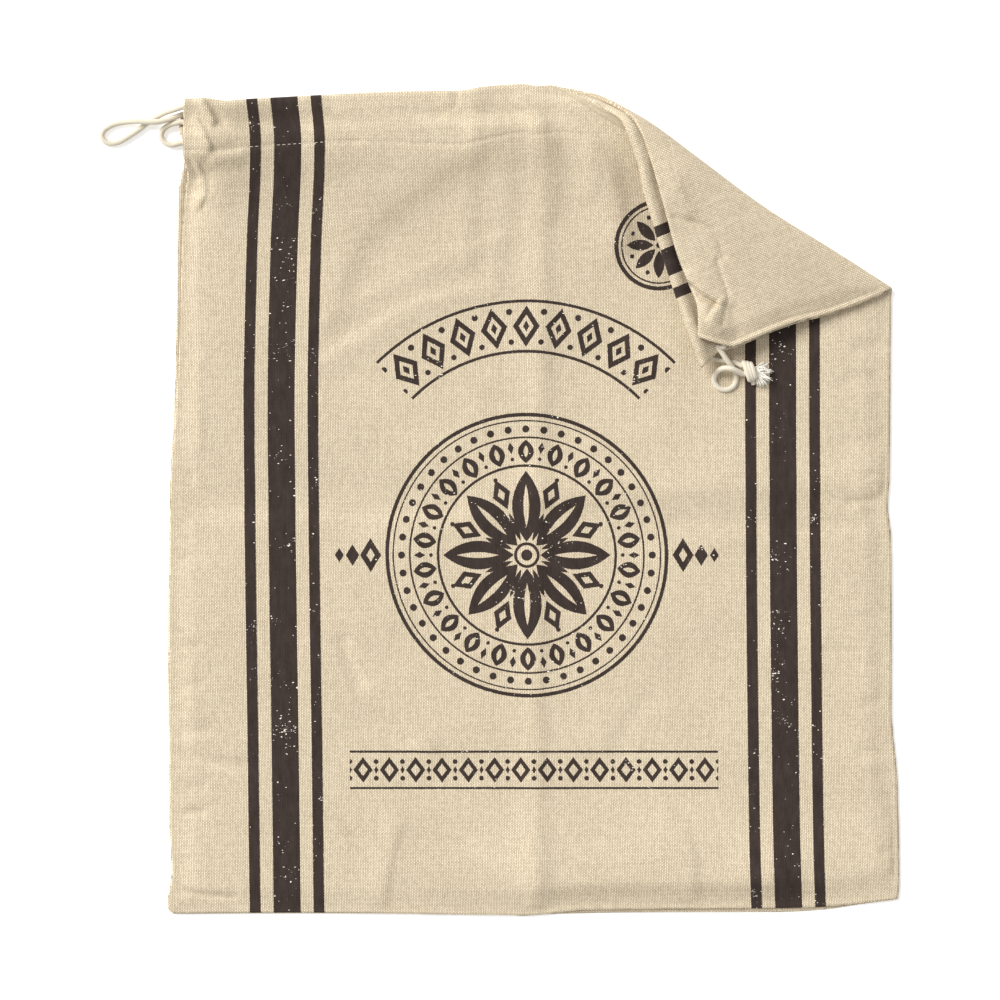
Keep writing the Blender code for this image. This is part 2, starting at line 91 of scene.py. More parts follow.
FOLD_START = np.array((35.1, 213.5))
FOLD_END = np.array((187.4, 113.2))
FOLD_LENGTH = float(np.linalg.norm(FOLD_END - FOLD_START))
FOLD_ALONG = (FOLD_END - FOLD_START) / FOLD_LENGTH
FOLD_OUT = np.array((-FOLD_ALONG[1], FOLD_ALONG[0]))
ROLL_AT_MOUTH = 10.2
ROLL_AT_SIDE = 2.8
ROLL_EVEN = 60
SETTLE = 70
SETTLE_AT_CASING = 60
FLAP_CLEAR = 0.7
RELIEF_REACH = 8
STRAY_REACH = 26


# --- Small tools ---
EASING = 0.04


def mix(a, b, t):
    return a + (b - a) * t


def smooth(t):
    t = np.clip(t, 0.0, 1.0)
    return t * t * (3 - 2 * t)


def bump(distance, width):
    return np.exp(-((distance / width) ** 2))


def between_ends(numbers, t):
    return mix(numbers[0], numbers[-1], t)


def fade(distance, reach):
    """From 1 at 0 down to 0 at this reach."""
    return 1 - smooth(distance / reach)


def unit(vectors):
    return vectors / np.linalg.norm(vectors, axis=-1, keepdims=True)


def above_zero(height):
    """The height where it is above 0, easing out to 0 where it is below."""
    return (height + np.sqrt(height**2 + EASING)) / 2


def distances(path):
    """How far along the path each of its points is."""
    return np.concatenate(([0.0], np.cumsum(np.linalg.norm(np.diff(path, axis=0), axis=1))))


def hermite(t, width, start, start_slope, end, end_slope):
    """A smooth curve between two ends that are this width apart, where t goes from 0 to 1."""
    return (
        (2 * t**3 - 3 * t**2 + 1) * start
        + (t**3 - 2 * t**2 + t) * width * start_slope
        + (3 * t**2 - 2 * t**3) * end
        + (t**3 - t**2) * width * end_slope
    )


class Curve:
    """A smooth curve through (key, value) rows, sorted by key."""

    def __init__(self, *rows):
        self.keys, self.values = np.array(rows, float).T
        rise = np.diff(self.values) / np.diff(self.keys)
        product = rise[:-1] * rise[1:]
        total = rise[:-1] + rise[1:]
        inner = np.where(product > 0, 2 * product / np.where(product > 0, total, 1), 0.0)
        self.slopes = np.concatenate(([rise[0]], inner, [rise[-1]]))

    def __call__(self, at):
        at = np.clip(at, self.keys[0], self.keys[-1])
        i = np.clip(np.searchsorted(self.keys, at, "right") - 1, 0, len(self.keys) - 2)
        width = self.keys[i + 1] - self.keys[i]
        ends = self.values[i], self.slopes[i], self.values[i + 1], self.slopes[i + 1]
        return hermite((at - self.keys[i]) / width, width, *ends)


# --- Outlines of the open panels ---
# Sides: height and x. Bottoms and mouths: x and height.
BACK_LEFT = Curve(
    (-218.9, -190.6), (-218, -191.9), (-216, -193), (-212, -193.1), (-197, -191.1), (-170, -192.3),
    (-74, -192.9), (6, -191.9), (37, -190.2), (71, -188.9), (135, -187.8), (163, -187.2),
    (171, -185.6), (181, -184.2), (190, -185), (194, -186.6), (200, -186.8), (204, -184.6),
    (210.2, -183.4),
)
FRONT_LEFT = Curve(
    (-218.5, -190.3), (-217.6, -191.6), (-215.6, -192.7), (-212, -192.7), (-197, -190.5),
    (-170, -191.7), (-74, -192.2), (6, -191.3), (37, -189.3), (86, -186.6), (135, -185.3),
    (163, -183.6), (171, -182.1), (181, -183.8), (203, -183.6), (210.3, -183),
)
BACK_RIGHT = Curve(
    (-211, 192.5), (-201, 193.2), (-150, 192.2), (-111, 189.1), (-38, 189.1), (-18, 188.6),
    (-4, 187.1), (14, 188.1), (104, 188.8), (125, 191), (148, 190.4), (172, 187.7), (184, 187.4),
    (205, 187.8), (209, 186), (215, 182), (222, 176.7),
)
FRONT_RIGHT = Curve(
    (-210.8, 192.1), (-201, 192.8), (-150, 191.8), (-111, 188.7), (-38, 188.8), (-18, 188.2),
    (-4, 186.7), (14, 187.7), (104, 188.4), (125, 191.4), (148, 190.9), (172, 188.3), (184, 188),
    (206, 188.4), (214.6, 187.4), (219.5, 189), (226.6, 191.5),
)
BACK_MOUTH = Curve(
    (-183.4, 210.2), (-172.4, 209.9), (-161.5, 208.6), (-150.7, 209.5), (-112, 211.7), (-76, 213.4),
    (-40, 214.1), (-23.5, 216.6), (-4.5, 217.9), (14, 217.6), (30, 215.7), (42.8, 215.2),
    (54, 212.4), (66, 211.8), (85.6, 212.6), (117, 215.5), (137, 217), (159, 216.4), (176.7, 222),
)
FRONT_MOUTH = Curve(
    (-183, 210.3), (-172.4, 210.3), (-161.5, 209), (-150.7, 210), (-112, 212.4), (-76, 214.1),
    (-40, 214.8), (-23.5, 217.3), (-4.5, 218.7), (1, 217.8), (14, 218.5), (30, 216.6),
    (42.8, 216.9), (55.8, 217.4), (67, 218.5), (83, 219.2), (98, 221.8), (136, 224.8), (168, 226),
    (191.5, 226.6),
)
BACK_BOTTOM = Curve(
    (-190.6, -218.9), (-123, -218.6), (-12, -219.2), (-4, -220.2), (3, -219.2), (51, -218),
    (130, -217.7), (151.5, -216.6), (172.7, -213.7), (192.5, -211),
)
FRONT_BOTTOM = Curve(
    (-190.3, -218.5), (-123, -218.1), (-4, -219.4), (16, -217.8), (28, -216.6), (130, -215.6),
    (151.5, -215), (172.7, -213.1), (192.1, -210.8),
)
Outline = namedtuple("Outline", "left right bottom mouth")
BACK = Outline(BACK_LEFT, BACK_RIGHT, BACK_BOTTOM, BACK_MOUTH)
FRONT = Outline(FRONT_LEFT, FRONT_RIGHT, FRONT_BOTTOM, FRONT_MOUTH)

# Depth of the casing's stitches below the front's mouth: x and depth.
STITCH_DEPTH = Curve(
    (-192, 27.2), (-176, 27), (-148, 24.8), (-111, 24.6), (-70, 26.5), (-31, 28.4), (-21, 27.1),
    (13, 25.7), (48, 25.4), (192, 25.4),
)

# How far the folded edge strays outwards: distance along it, and stray.
FOLD_STRAY = Curve(
    (-20, 0), (0, 0.2), (30, 2), (62, 0.3), (108, -1.9), (150, -0.6), (182, 0),
)

# --- Creases ---
# Each is a smooth ridge along a line, or a groove where its height is below 0. A row holds its
# height, its width to the left of the line, as one walks along it, its width to the right, and
# the line's points. A row of plain numbers is a straight one: height, width, and its two ends.
# Widths and points are counted in steps of 0.528 mm, the points across and down from the upper
# left corner of the square that the bag lies in.
STEP = 0.528
CORNER = (-281.7, 263.7)
FRONT_CREASES = (
    # The two folds of storage.
    (1.2, 10, 15, (541, 90), (542, 300), (539, 500), (536, 700), (537, 916)),
    (-1.7, 34, 12, (166, 507), (240, 504), (330, 504), (450, 507)),
    (1.4, 26, 13, (540, 496), (700, 489), (830, 484), (892, 482)),
    (-0.8, 10, 12, (680, 521), (780, 523), (892, 525)),
    # Pulls that fan out from the casing.
    (1.6, 16, 38, (472, 147), (450, 159), (420, 179), (395, 199), (370, 221), (352, 244),
      (338, 274), (328, 312)),
    (0.9, 7, 16, (320, 363), (350, 345), (375, 330), (402, 311), (430, 300), (470, 292)),
    (0.6, 8, 14, (330, 318), (380, 290), (440, 262), (500, 240)),
    (0.4, 14, 9, (472, 134), (500, 131), (525, 130), (552, 134)),
    (1.2, 6, 9, (523, 98), (533, 115), (540, 125)),
    (0.8, 9, 14, (548, 144), (551, 155), (554, 180), (551, 210)),
    (-0.7, 6, 6, (328, 103), (337, 118), (348, 132), (358, 141)),
    (0.8, 7, 8, (342, 114), (395, 119), (446, 126)), (-0.6, 4, 430, 98, 441, 117),
    (-0.8, 4, 458, 92, 456, 107), (0.6, 8, 7, (476, 94), (474, 140)),
    (0.5, 9, 12, (470, 160), (468, 260)), (0.5, 9, 12, (506, 165), (503, 230), (492, 290)),
    (1.1, 4, 4, (582, 97), (593, 112), (606, 126), (624, 141)),
    (-1.8, 5, 5, (606, 112), (613, 120), (620, 133)),
    (2.8, 12, 24, (604, 142), (607, 165), (613, 200), (622, 236)),
    (0.8, 8, 12, (592, 140), (590, 190)),
    # The gathered left end of the casing.
    (0.4, 5, 8, (199, 210), (197, 300), (199, 445)), (2.2, 2.2, 6, (202, 97), (207, 107), (215, 122)),
    (-0.8, 4, 4, (213, 98), (219, 111), (225, 125)),
    (1.5, 2.2, 6, (199, 122), (205, 134), (211, 147)),
    (-0.7, 5, 5, (236, 149), (216, 152), (205, 165)), (-1, 3, 3, (186, 157), (192, 166), (198, 178)),
    (1.4, 2.4, 8, (199, 167), (205, 180), (205, 194), (200, 205)), (0.6, 5, 187, 201, 208, 198),
    (-0.6, 8, 214, 172, 244, 170), (0.5, 6, 214, 160, 242, 157),
    # Puckers along the left seam.
    (-0.7, 4, 170, 478, 191, 477), (-1.1, 3.5, 3.5, (168, 506), (185, 504), (207, 498)),
    (-0.4, 4, 170, 525, 187, 526), (-0.4, 4, 170, 541, 187, 540), (-0.4, 5, 171, 559, 193, 556),
    (-0.7, 4, 169, 647, 198, 645), (-0.5, 4, 169, 662, 188, 660), (-0.7, 4, 169, 689, 198, 685),
    (-0.7, 6, 173, 731, 209, 729), (-1.1, 6, 6, (169, 742), (188, 755), (212, 762), (248, 766)),
    (-0.8, 6, 169, 788, 203, 787), (-1, 4, 168, 814, 202, 812), (-0.4, 4, 171, 858, 189, 860),
    (-1.5, 3.2, 3.2, (168, 883), (182, 890), (201, 895), (234, 897)), (-0.6, 3.5, 230, 899, 241, 910),
    # Slack in the lower half.
    (-0.8, 6, 7, (343, 640), (350, 668), (360, 692), (374, 710), (392, 726), (410, 741)),
    (0.9, 8, 9, (370, 688), (400, 712), (432, 744)),
    (0.9, 5, 15, (398, 828), (391, 850), (386, 872), (383, 892), (382, 914)),
    (-0.5, 8, 352, 836, 374, 864), (0.7, 18, 22, (400, 866), (470, 868), (530, 874)),
    (2.6, 50, 13, (548, 884), (600, 880), (680, 880), (760, 880)),
    (1.5, 44, 14, (784, 878), (830, 874), (880, 866)),
    (0.9, 6, 26, (672, 820), (686, 841), (692, 862), (693, 908)),
    (-0.5, 10, 10, (650, 698), (632, 722), (618, 748)),
    # Puckers along the right seam.
    (-0.6, 4, 856, 303, 871, 322), (-0.7, 6, 890, 346, 861, 347), (-0.7, 8, 890, 381, 850, 380),
    (-0.3, 5, 890, 404, 868, 404), (-0.4, 8, 890, 441, 848, 441), (-0.8, 3.5, 888, 475, 867, 475),
    (-0.9, 5, 888, 500, 850, 502), (-0.6, 6, 888, 517, 867, 514), (-0.5, 7, 884, 552, 855, 545),
    (-0.4, 4, 890, 618, 856, 617), (-0.4, 6, 852, 655, 828, 650), (-0.5, 6, 891, 668, 862, 664),
    (-0.7, 5, 891, 706, 868, 703), (-0.7, 6, 892, 753, 862, 753), (-0.4, 5, 893, 777, 868, 775),
    (-0.6, 5, 898, 853, 884, 851),
)
# Creases of the folded corner, where it lies.
FLAP_CREASES = (
    (1, 8, 11, (664, 138), (668, 160), (673, 180), (679, 200), (685, 213)),
    (-0.8, 4, 4, (674, 220), (695, 224), (711, 231), (718, 243), (722, 257)),
    (-0.7, 2.5, 2.5, (716, 262), (721, 279), (726, 290), (727, 300), (724, 308), (721, 325)),
    (1.6, 9, 2.2, (688, 280), (697, 288), (706, 294), (714, 299), (718, 303)),
    (-2.2, 2, 5, (690, 286), (699, 296), (708, 301), (714, 304)),
    (1, 11, 2, (719, 303), (714, 310), (710, 317)),
    (-1.3, 1.6, 3.5, (715, 305), (711, 311), (708, 317)),
    (0.7, 4, 3, (708, 319), (712, 325), (719, 332)), (-0.8, 9, 729, 314, 736, 334),
    (0.5, 16, 690, 245, 704, 262), (1.2, 13, 13, (700, 292), (706, 310), (706, 322)),
    (2.2, 17, 711, 318, 715, 331),
)
SLACK = 1.5
SLACK_REACH = 13
LONG_WAVES, SHORT_WAVES = 0.35, 0.16
SEAM_FLAT = 1.6
CREASE_REACH = 4
EDGE_CURL, CURL_FROM = 0.9, 0.7
SEWN_REACH = 22
SEWN_WIDTH = 19
LEAST_SLACK = 0.12
FLAP_PUFF = 1.5
FLAP_PUFF_REACH = 9
FLAP_WAVES, FLAP_WAVES_PACE = 0.5, 1.7
RIM_AT, RIM_WIDTH, RIM_HEIGHT = 0.8, 1, 0.4
RIM_GROOVE_AT, RIM_GROOVE_WIDTH, RIM_GROOVE = 2.6, 0.8, -0.3
CROWN = 4.4
CROWN_AT = 2.1
CROWN_WIDTH = 3.8

# --- Drawstring ---
BACK_CORD = Curve(
    (-190, 189.4), (-150, 190.8), (-60, 194.5), (24, 195.5), (110, 198), (150, 203.5), (190, 211.5),
)
FRONT_CORD = Curve(
    (-190, 206.8), (-150, 204.4), (-60, 206), (24, 207.4), (110, 213), (150, 217.6), (190, 219.6),
)
FRONT_RUN = (*range(187, 76, -4), *range(74, 26, -5), 22, -60, -150, -160, -166, -172, -178)
BACK_RUN = (-176, -150, -60, 24, *range(42, 98, 6), *range(98, 188, 4))
KNOT_TO_FRONT = (
    (110.6, 70.3, 5.4), (107.2, 71.8, 4.3), (102.6, 72.8, 4.15), (98, 73.6, 4.3), (94.6, 74.4, 4.9),
)
LEFT_LOOP = (
    (-183.4, 206.9, 9), (-188.8, 205.6, 7.8), (-193.8, 204.2, 5.8), (-199, 202.1, 2.9),
    (-203.8, 199.2, 1.5), (-208.6, 195.4, 1.5), (-214.2, 191.7, 1.5), (-219.4, 188.8, 1.5),
    (-223.4, 188.1, 1.5), (-226.8, 189.4, 1.5), (-228.2, 192.2, 1.5), (-227.4, 194.6, 1.5),
    (-224.4, 197, 1.5), (-220.4, 198.6, 1.5), (-214.6, 199.5, 2.6), (-208.6, 199.7, 4.2),
    (-204, 199.3, 5.1), (-199, 199.2, 5.3), (-193.8, 200.2, 5.1), (-188.6, 202, 4.9),
)
TURN_BACK = (
    (-183.4, 204.1), (-178, 206.2), (-172.4, 205.2), (-169.4, 200.4), (-171.4, 195.4),
    (-177, 193.9), (-181.4, 196.6),
)
LEFT_SMALL_LOOP = (
    (-185, 199.2, 4.9), (-188.6, 198.8, 4.2), (-192.2, 197.8, 2.9), (-195.4, 195.8, 1.8),
    (-196.9, 192.4, 1.5), (-195.4, 189, 1.5), (-191.6, 187.4, 1.8), (-187, 188.2, 2.5),
)
RIGHT_LOOP = (
    (97.2, 80.6, 8.8), (99.6, 77, 8.6), (102.6, 72.6, 7.5), (105.4, 68.9, 5.9), (107, 64.8, 4.5),
    (106, 60.3, 4.1), (102.4, 58, 4.1), (98, 58.7, 4.1), (95.5, 62.4, 4.3), (96.3, 66.7, 6),
    (99.9, 69, 8.6), (104.2, 68.8, 9.8), (107.6, 67.4, 8.7), (110.4, 66, 7.2),
)
KNOT = np.array((114.2, 67.5, 6.7))


# --- Heights of the open bag's layers ---
def ridge(distance, layers=0):
    """Lift of the cloth near a cord, with this many layers between them."""
    return (RIDGE + layers * RIDGE_EASE) * bump(distance, RIDGE_WIDTH + layers * RIDGE_SPREAD)


def slope_below(distance, layers):
    """Lift of the outer layer, which runs down gently on a cord's lower side."""
    width = np.where(distance < 0, RIDGE_SLOPE, RIDGE_WIDTH + layers * RIDGE_SPREAD)
    return (RIDGE + layers * RIDGE_EASE) * bump(distance, width)


def below_mouth(outline, x, y):
    return outline.mouth(x) - y


def edge_swell(depth):
    return (2 * TURN - LAYER) * fade(depth - TURN, SWELL_REACH)


def pocket_lift(x, y, reach=POCKET_REACH):
    away = np.hypot(x - POCKET[0], y - POCKET[1])
    return POCKET_LIFT * fade(away - POCKET_FLAT, reach - POCKET_FLAT)


def back_inside_z(x, y, ridge_height=None):
    if ridge_height is None:
        ridge_height = ridge(y - BACK_CORD(x))
    return BACK_Z + LAYER + edge_swell(below_mouth(BACK, x, y)) + ridge_height


def front_inside_z(x, y):
    return back_inside_z(x, y, ridge(y - BACK_CORD(x), 1)) + LAYER + pocket_lift(x, y)


def crease_sum(creases, x, y):
    """Height of all these creases at places in millimetres."""
    across = (x - CORNER[0]) / STEP
    down = (CORNER[1] - y) / STEP
    total = 0 * across
    for height, left, right, *points in creases:
        if not isinstance(points[0], tuple):
            points = (right, points[0]), points[1:]
            right = left
        nearest = np.full_like(total, np.inf)
        side = np.zeros_like(total)
        for (x1, y1), (x2, y2) in zip(points, points[1:]):
            run_x, run_y = x2 - x1, y2 - y1
            from_x, from_y = across - x1, down - y1
            length = math.hypot(run_x, run_y)
            t = np.clip((from_x * run_x + from_y * run_y) / length**2, 0, 1)
            far = np.hypot(from_x - t * run_x, from_y - t * run_y)
            turn = (from_x * run_y - from_y * run_x) / length
            closer = far < nearest
            nearest = np.where(closer, far, nearest)
            side = np.where(closer, turn, side)
        lean = smooth(0.5 + 0.5 * side / np.maximum(nearest, 1e-6))
        total += height * bump(nearest, mix(right, left, lean))
    return total


def waves(x, y):
    """Slow unevenness of cloth that isn't quite flat."""
    one = np.sin(0.061 * x + 0.023 * y + 1.0) * np.sin(0.019 * x - 0.071 * y)
    two = np.sin(0.113 * x - 0.041 * y + 2.0) * np.sin(0.037 * x + 0.127 * y + 0.5)
    return LONG_WAVES * one + SHORT_WAVES * two


def from_sides(x, y):
    """Distance from the nearer side of the front."""
    return np.minimum(x - FRONT_LEFT(y), FRONT_RIGHT(y) - x)


def front_slack(x, y):
    """How far the front stands off the back between their seams."""
    edge = np.minimum(from_sides(x, y), y - FRONT_BOTTOM(x))
    height = (SLACK + waves(x, y)) * smooth((edge - SEAM_FLAT) / SLACK_REACH)
    near_seam = smooth((edge - SEAM_FLAT) / CREASE_REACH)
    height = height + crease_sum(FRONT_CREASES, x, y) * near_seam
    return LEAST_SLACK * near_seam + above_zero(height) - math.sqrt(EASING) / 2


def front_outer_z(x, y):
    back_depth = below_mouth(BACK, x, y)
    own_depth = below_mouth(FRONT, x, y)
    hem_end = STITCH_DEPTH(x) + STITCH_ROOM
    over_back_hem = fade(back_depth - HEM, BACK_HEM_STEP)
    over_own_hem = fade(own_depth - hem_end, HEM_STEP)
    near_hem = fade(back_depth - HEM, RIDGE_FADE)
    over_back_cord = near_hem * slope_below(y - BACK_CORD(x), 2)
    over_own_cord = slope_below(y - FRONT_CORD(x), 0) + near_hem * slope_below(y - BACK_CORD(x), 1)
    on_back_hem = back_inside_z(x, y, 0) + LAYER + pocket_lift(x, y, OUTER_POCKET_REACH)
    rolled = near_roll(x, y)
    slack = front_slack(x, y)
    z = mix(FRONT_Z, on_back_hem, over_back_hem) + slack * (1 - ROLL_TAUT * rolled)
    z = z + over_own_hem * (LAYER + edge_swell(own_depth))
    z = z - STITCH_SINK * bump(own_depth - STITCH_DEPTH(x), STITCH_SINK_WIDTH)
    z = z + (over_back_cord**4 + over_own_cord**4) ** 0.25
    near_side = fade(from_sides(x, y) - SEAM_FLAT, SEWN_WIDTH)
    sewn = smooth((own_depth - hem_end) / SEWN_REACH) * near_side
    z = mix(z, FRONT_Z + slack, sewn)
    z = z - rolled * np.maximum(0.0, z - ROLL_CORE * roll_at(x, y)[2])
    return z + mouth_rise(x, y)


# --- Folding the corner over ---
def at_fold(along, out):
    return (
        FOLD_START[0] + along * FOLD_ALONG[0] + out * FOLD_OUT[0],
        FOLD_START[1] + along * FOLD_ALONG[1] + out * FOLD_OUT[1],
    )


def from_fold(x, y):
    """Distances of a place along the fold and out from it."""
    from_x, from_y = x - FOLD_START[0], y - FOLD_START[1]
    along = from_x * FOLD_ALONG[0] + from_y * FOLD_ALONG[1]
    return along, from_x * FOLD_OUT[0] + from_y * FOLD_OUT[1]


def axis_at(along):
    """Height of the roll's axis."""
    t = np.clip((along - ROLL_EVEN) / (FOLD_LENGTH - ROLL_EVEN), 0, 1)
    return mix(ROLL_AT_MOUTH, ROLL_AT_SIDE, t)


def roll_at(x, y):
    """For an open place: from_fold's distances, the axis there, and how far it has turned.

    The last number is how far past the half turn it lies.
    """
    along, out = from_fold(x, y)
    axis = axis_at(along)
    angle = (out + axis) / (axis - BACK_Z)
    past = np.maximum(0.0, (angle - math.pi) * (axis - BACK_Z))
    return along, out, axis, angle, past


def near_roll(x, y):
    """From 0 on the flat bag to 1 where the roll begins."""
    _, out, axis, _, _ = roll_at(x, y)
    return smooth((out + axis) / ROLL_APPROACH + 1)


def folded(x, y, z):
    """Where points of the open bag lie once the corner is folded over the front."""
    x, y, z = (np.asarray(a, float) for a in (x, y, z))
    along, out, axis, angle, past = roll_at(x, y)
    flap_out = -axis - past
    under = front_slack(*at_fold(along, flap_out)) + BODY_TOP + FLAP_CLEAR
    casing = fade(below_mouth(BACK, x, y) - HEM, SETTLE_AT_CASING)
    rest = under + mix(BODY_TOP, STACK_TOP, casing)
    flap_z = mix(2 * axis, rest, smooth(past / SETTLE)) - z

    turn = np.clip(angle, 0, math.pi)
    roll_out = -axis + (axis - z) * np.sin(turn)
    roll_z = axis - (axis - z) * np.cos(turn)

    out = np.where(angle > math.pi, flap_out, np.where(angle > 0, roll_out, out))
    z = np.where(angle > math.pi, flap_z, np.where(angle > 0, roll_z, z))
    out = out + FOLD_STRAY(along) * bump(out, STRAY_REACH)
    return *at_fold(along, out), z


def flap_relief(x, y):
    """How far the top layer of the folded corner rises at these open places."""
    along, _, axis, _, past = roll_at(x, y)
    lies = at_fold(along, -axis - past)
    edge = BACK_RIGHT(y) - x
    puff = FLAP_PUFF * smooth((edge - RIM_AT - RIM_WIDTH) / FLAP_PUFF_REACH)
    puff = puff + FLAP_WAVES * waves(lies[0] * FLAP_WAVES_PACE, lies[1] * FLAP_WAVES_PACE)
    height = above_zero(puff + crease_sum(FLAP_CREASES, *lies))
    height = height + RIM_HEIGHT * bump(edge - RIM_AT, RIM_WIDTH)
    height = height + RIM_GROOVE * bump(edge - RIM_GROOVE_AT, RIM_GROOVE_WIDTH)
    return height * smooth(past / RELIEF_REACH)


def mouth_rise(x, y):
    """Lift of the front's mouth: off the back's where it lies open, and rolled on the corner."""
    turned = smooth(2 * roll_at(x, y)[3] / math.pi - 1)
    depth = below_mouth(FRONT, x, y)
    rise = MOUTH_RISE * fade(depth, MOUTH_RISE_REACH) * (1 - near_roll(x, y))
    return mix(rise, -CROWN * bump(depth - CROWN_AT, CROWN_WIDTH), turned)


def back_outer_z(x, y):
    seen = FRONT_LEFT(y) - BACK_LEFT(y) - GAP
    inside_edge = np.maximum(0.0, x - BACK_LEFT(y)) / np.maximum(seen, GAP)
    curl = EDGE_CURL * fade(inside_edge, 1) * smooth(seen - CURL_FROM)
    return BACK_Z + curl - flap_relief(x, y)


def back_hem_z(x, y):
    near_mouth = fade(below_mouth(BACK, x, y) - TURN, RELIEF_REACH)
    return back_inside_z(x, y) - flap_relief(x, y) * near_mouth


def front_hem_z(x, y):
    return front_inside_z(x, y) + mouth_rise(x, y)


def open_place(x, y):
    """The open places of points that lie on the folded corner."""
    along, out = from_fold(x, y)
    axis = axis_at(along)
    return at_fold(along, math.pi * (axis - BACK_Z) - 2 * axis - out)


# --- Cloth ---
def panel_places(outline, u, v):
    """Places on the open panel: u from its left side to its right one, v from bottom to mouth."""
    left_y, right_y = between_ends(outline.left.keys, v), between_ends(outline.right.keys, v)
    bottom_x, mouth_x = between_ends(outline.bottom.keys, u), between_ends(outline.mouth.keys, u)
    low_y, high_y = between_ends(outline.bottom.values, u), between_ends(outline.mouth.values, u)
    x = mix(outline.left(left_y), outline.right(right_y), u)
    y = mix(left_y, right_y, u) + mix(outline.bottom(bottom_x), outline.mouth(mouth_x), v)
    return x, y - mix(low_y, high_y, v)


def spread_columns(parts):
    """Columns from 0 to 1: parts are (end, how many columns up to it)."""
    columns, start = [0], 0
    for end, count in parts:
        columns += list(np.linspace(start, end, count + 1)[1:])
        start = end
    return np.array(columns)


Row = namedtuple("Row", "v lift outer kept")


def sheet_rows(body_depths, casing_steps, inner_steps, inward):
    """Rows from the bottom seam to the mouth and down inside.

    Each has its v, its lift from the outer layer, whether it lies on that layer, and whether the
    hidden side of the cloth has it too.
    """
    rows = []
    casing_depths = [mix(HEM, TURN, i / casing_steps) for i in range(casing_steps + 1)]
    for depths in (body_depths, casing_depths):
        rows += [Row(1 - depth / HEIGHT, 0, True, i % 2 == 0) for i, depth in enumerate(depths)]
    for i in range(1, TURN_STEPS):
        angle = math.pi * (i / TURN_STEPS - 0.5)
        lift = inward * TURN * (1 + math.sin(angle))
        depth = TURN * (1 - math.cos(angle))
        rows.append(Row(1 - depth / HEIGHT, lift, True, True))
    for i in range(inner_steps + 1):
        depth = mix(TURN, HEM_INSIDE, i / inner_steps)
        rows.append(Row(1 - depth / HEIGHT, 0, False, True))
    return rows


def add_cloth(name, outline, columns, rows, outer_z, inner_z, outer_side, wander, materials):
    """One panel as a closed sheet of cloth with rounded edges, hem turned in and corner folded."""
    v, lift, outer, _ = (np.array(column)[:, None] for column in zip(*rows))
    x, y = panel_places(outline, columns[None, :], v)
    z = np.where(outer, outer_z(x, y) + lift, inner_z(x, y))
    middle = np.stack(folded(x, y, z), axis=-1)

    across = np.gradient(middle, axis=1)
    up = np.gradient(middle, axis=0)
    normal = unit(np.cross(across, up)) * (outer_side * CLOTH / 2)
    turned = outline.mouth(x) * 2 - y + TURN * (math.pi - 2)
    flat = np.stack((x - wander(x, y), np.where(outer, y, turned)), axis=-1)

    count_v, count_u = x.shape
    outside = np.arange(x.size).reshape(count_v, count_u)
    kept_rows = [i for i, row in enumerate(rows) if row.kept]
    kept_columns = sorted({*range(0, count_u, 2), count_u - 1})
    kept = np.ix_(kept_rows, kept_columns)
    inside = np.full(x.shape, -1)
    inside_count = len(kept_rows) * len(kept_columns)
    inside[kept] = np.arange(inside_count).reshape(len(kept_rows), -1) + x.size

    def quads(index):
        found = np.stack((index[:-1, :-1], index[:-1, 1:], index[1:, 1:], index[1:, :-1]), -1)
        return found.reshape(-1, 4)

    faces = quads(outside).tolist() + quads(inside[kept])[:, ::-1].tolist()
    slots = [0] * quads(outside).shape[0]
    slots += [1] * (len(faces) - len(slots))

    def around(grid):
        return np.concatenate((grid[0, :-1], grid[:-1, -1], grid[-1, :0:-1], grid[:0:-1, 0]))

    away = unit(np.concatenate((-up[0, :-1], across[:-1, -1], up[-1, :0:-1], -across[:0:-1, 0])))
    ring, ring_in = around(outside), around(inside)
    rim = middle.reshape(-1, 3)[ring] + away * RIM_OUT
    base = int(inside.max()) + 1
    count = len(ring)
    for i in range(count):
        j = (i + 1) % count
        faces.append([int(ring[i]), base + i, base + j, int(ring[j])])
        slots.append(0)
    i = 0
    while i < count:
        j = i + 1
        while ring_in[j % count] < 0:
            j += 1
        edge = [base + k % count for k in range(j, i - 1, -1)]
        faces.append([int(ring_in[i]), int(ring_in[j % count]), *edge])
        slots.append(1)
        i = j
    if outer_side < 0:
        faces = [face[::-1] for face in faces]

    sides = (middle + normal).reshape(-1, 3), (middle - normal)[kept].reshape(-1, 3)
    points = np.concatenate((*sides, rim))
    uv = np.concatenate((flat.reshape(-1, 2), flat[kept].reshape(-1, 2), flat.reshape(-1, 2)[ring]))
    return add_mesh(name, points * MM, faces, materials, uv, slots)


def add_object(name, data):
    made = bpy.data.objects.new(name, data)
    bpy.context.scene.collection.objects.link(made)
    return made


def add_mesh(name, points, faces, materials, uv, slots=None):
    data = bpy.data.meshes.new(name)
    data.from_pydata(points.tolist(), [], faces)
    for material in materials:
        data.materials.append(material)
    if slots is not None:
        data.polygons.foreach_set("material_index", slots)
    corners = np.empty(len(data.loops), np.int32)
    data.loops.foreach_get("vertex_index", corners)
    layer = data.uv_layers.new(name="cloth")
    layer.uv.foreach_set("vector", (uv[corners] * MM).ravel())
    data.shade_smooth()
    data.validate()
    return add_object(name, data)


# --- Materials ---
SPECULAR = 0.25


def add_node(tree, kind, inputs, **settings):
    """A shader node. Each input is a field, which is linked, or a value."""
    node = tree.nodes.new("ShaderNode" + kind)
    for name, value in settings.items():
        setattr(node, name, value)
    for place, value in inputs.items():
        if isinstance(value, Field):
            tree.links.new(value.socket, node.inputs[place])
        else:
            node.inputs[place].default_value = value
    return node


def new_field(tree, kind, inputs, output=0, **settings):
    return Field(tree, add_node(tree, kind, inputs, **settings).outputs[output])


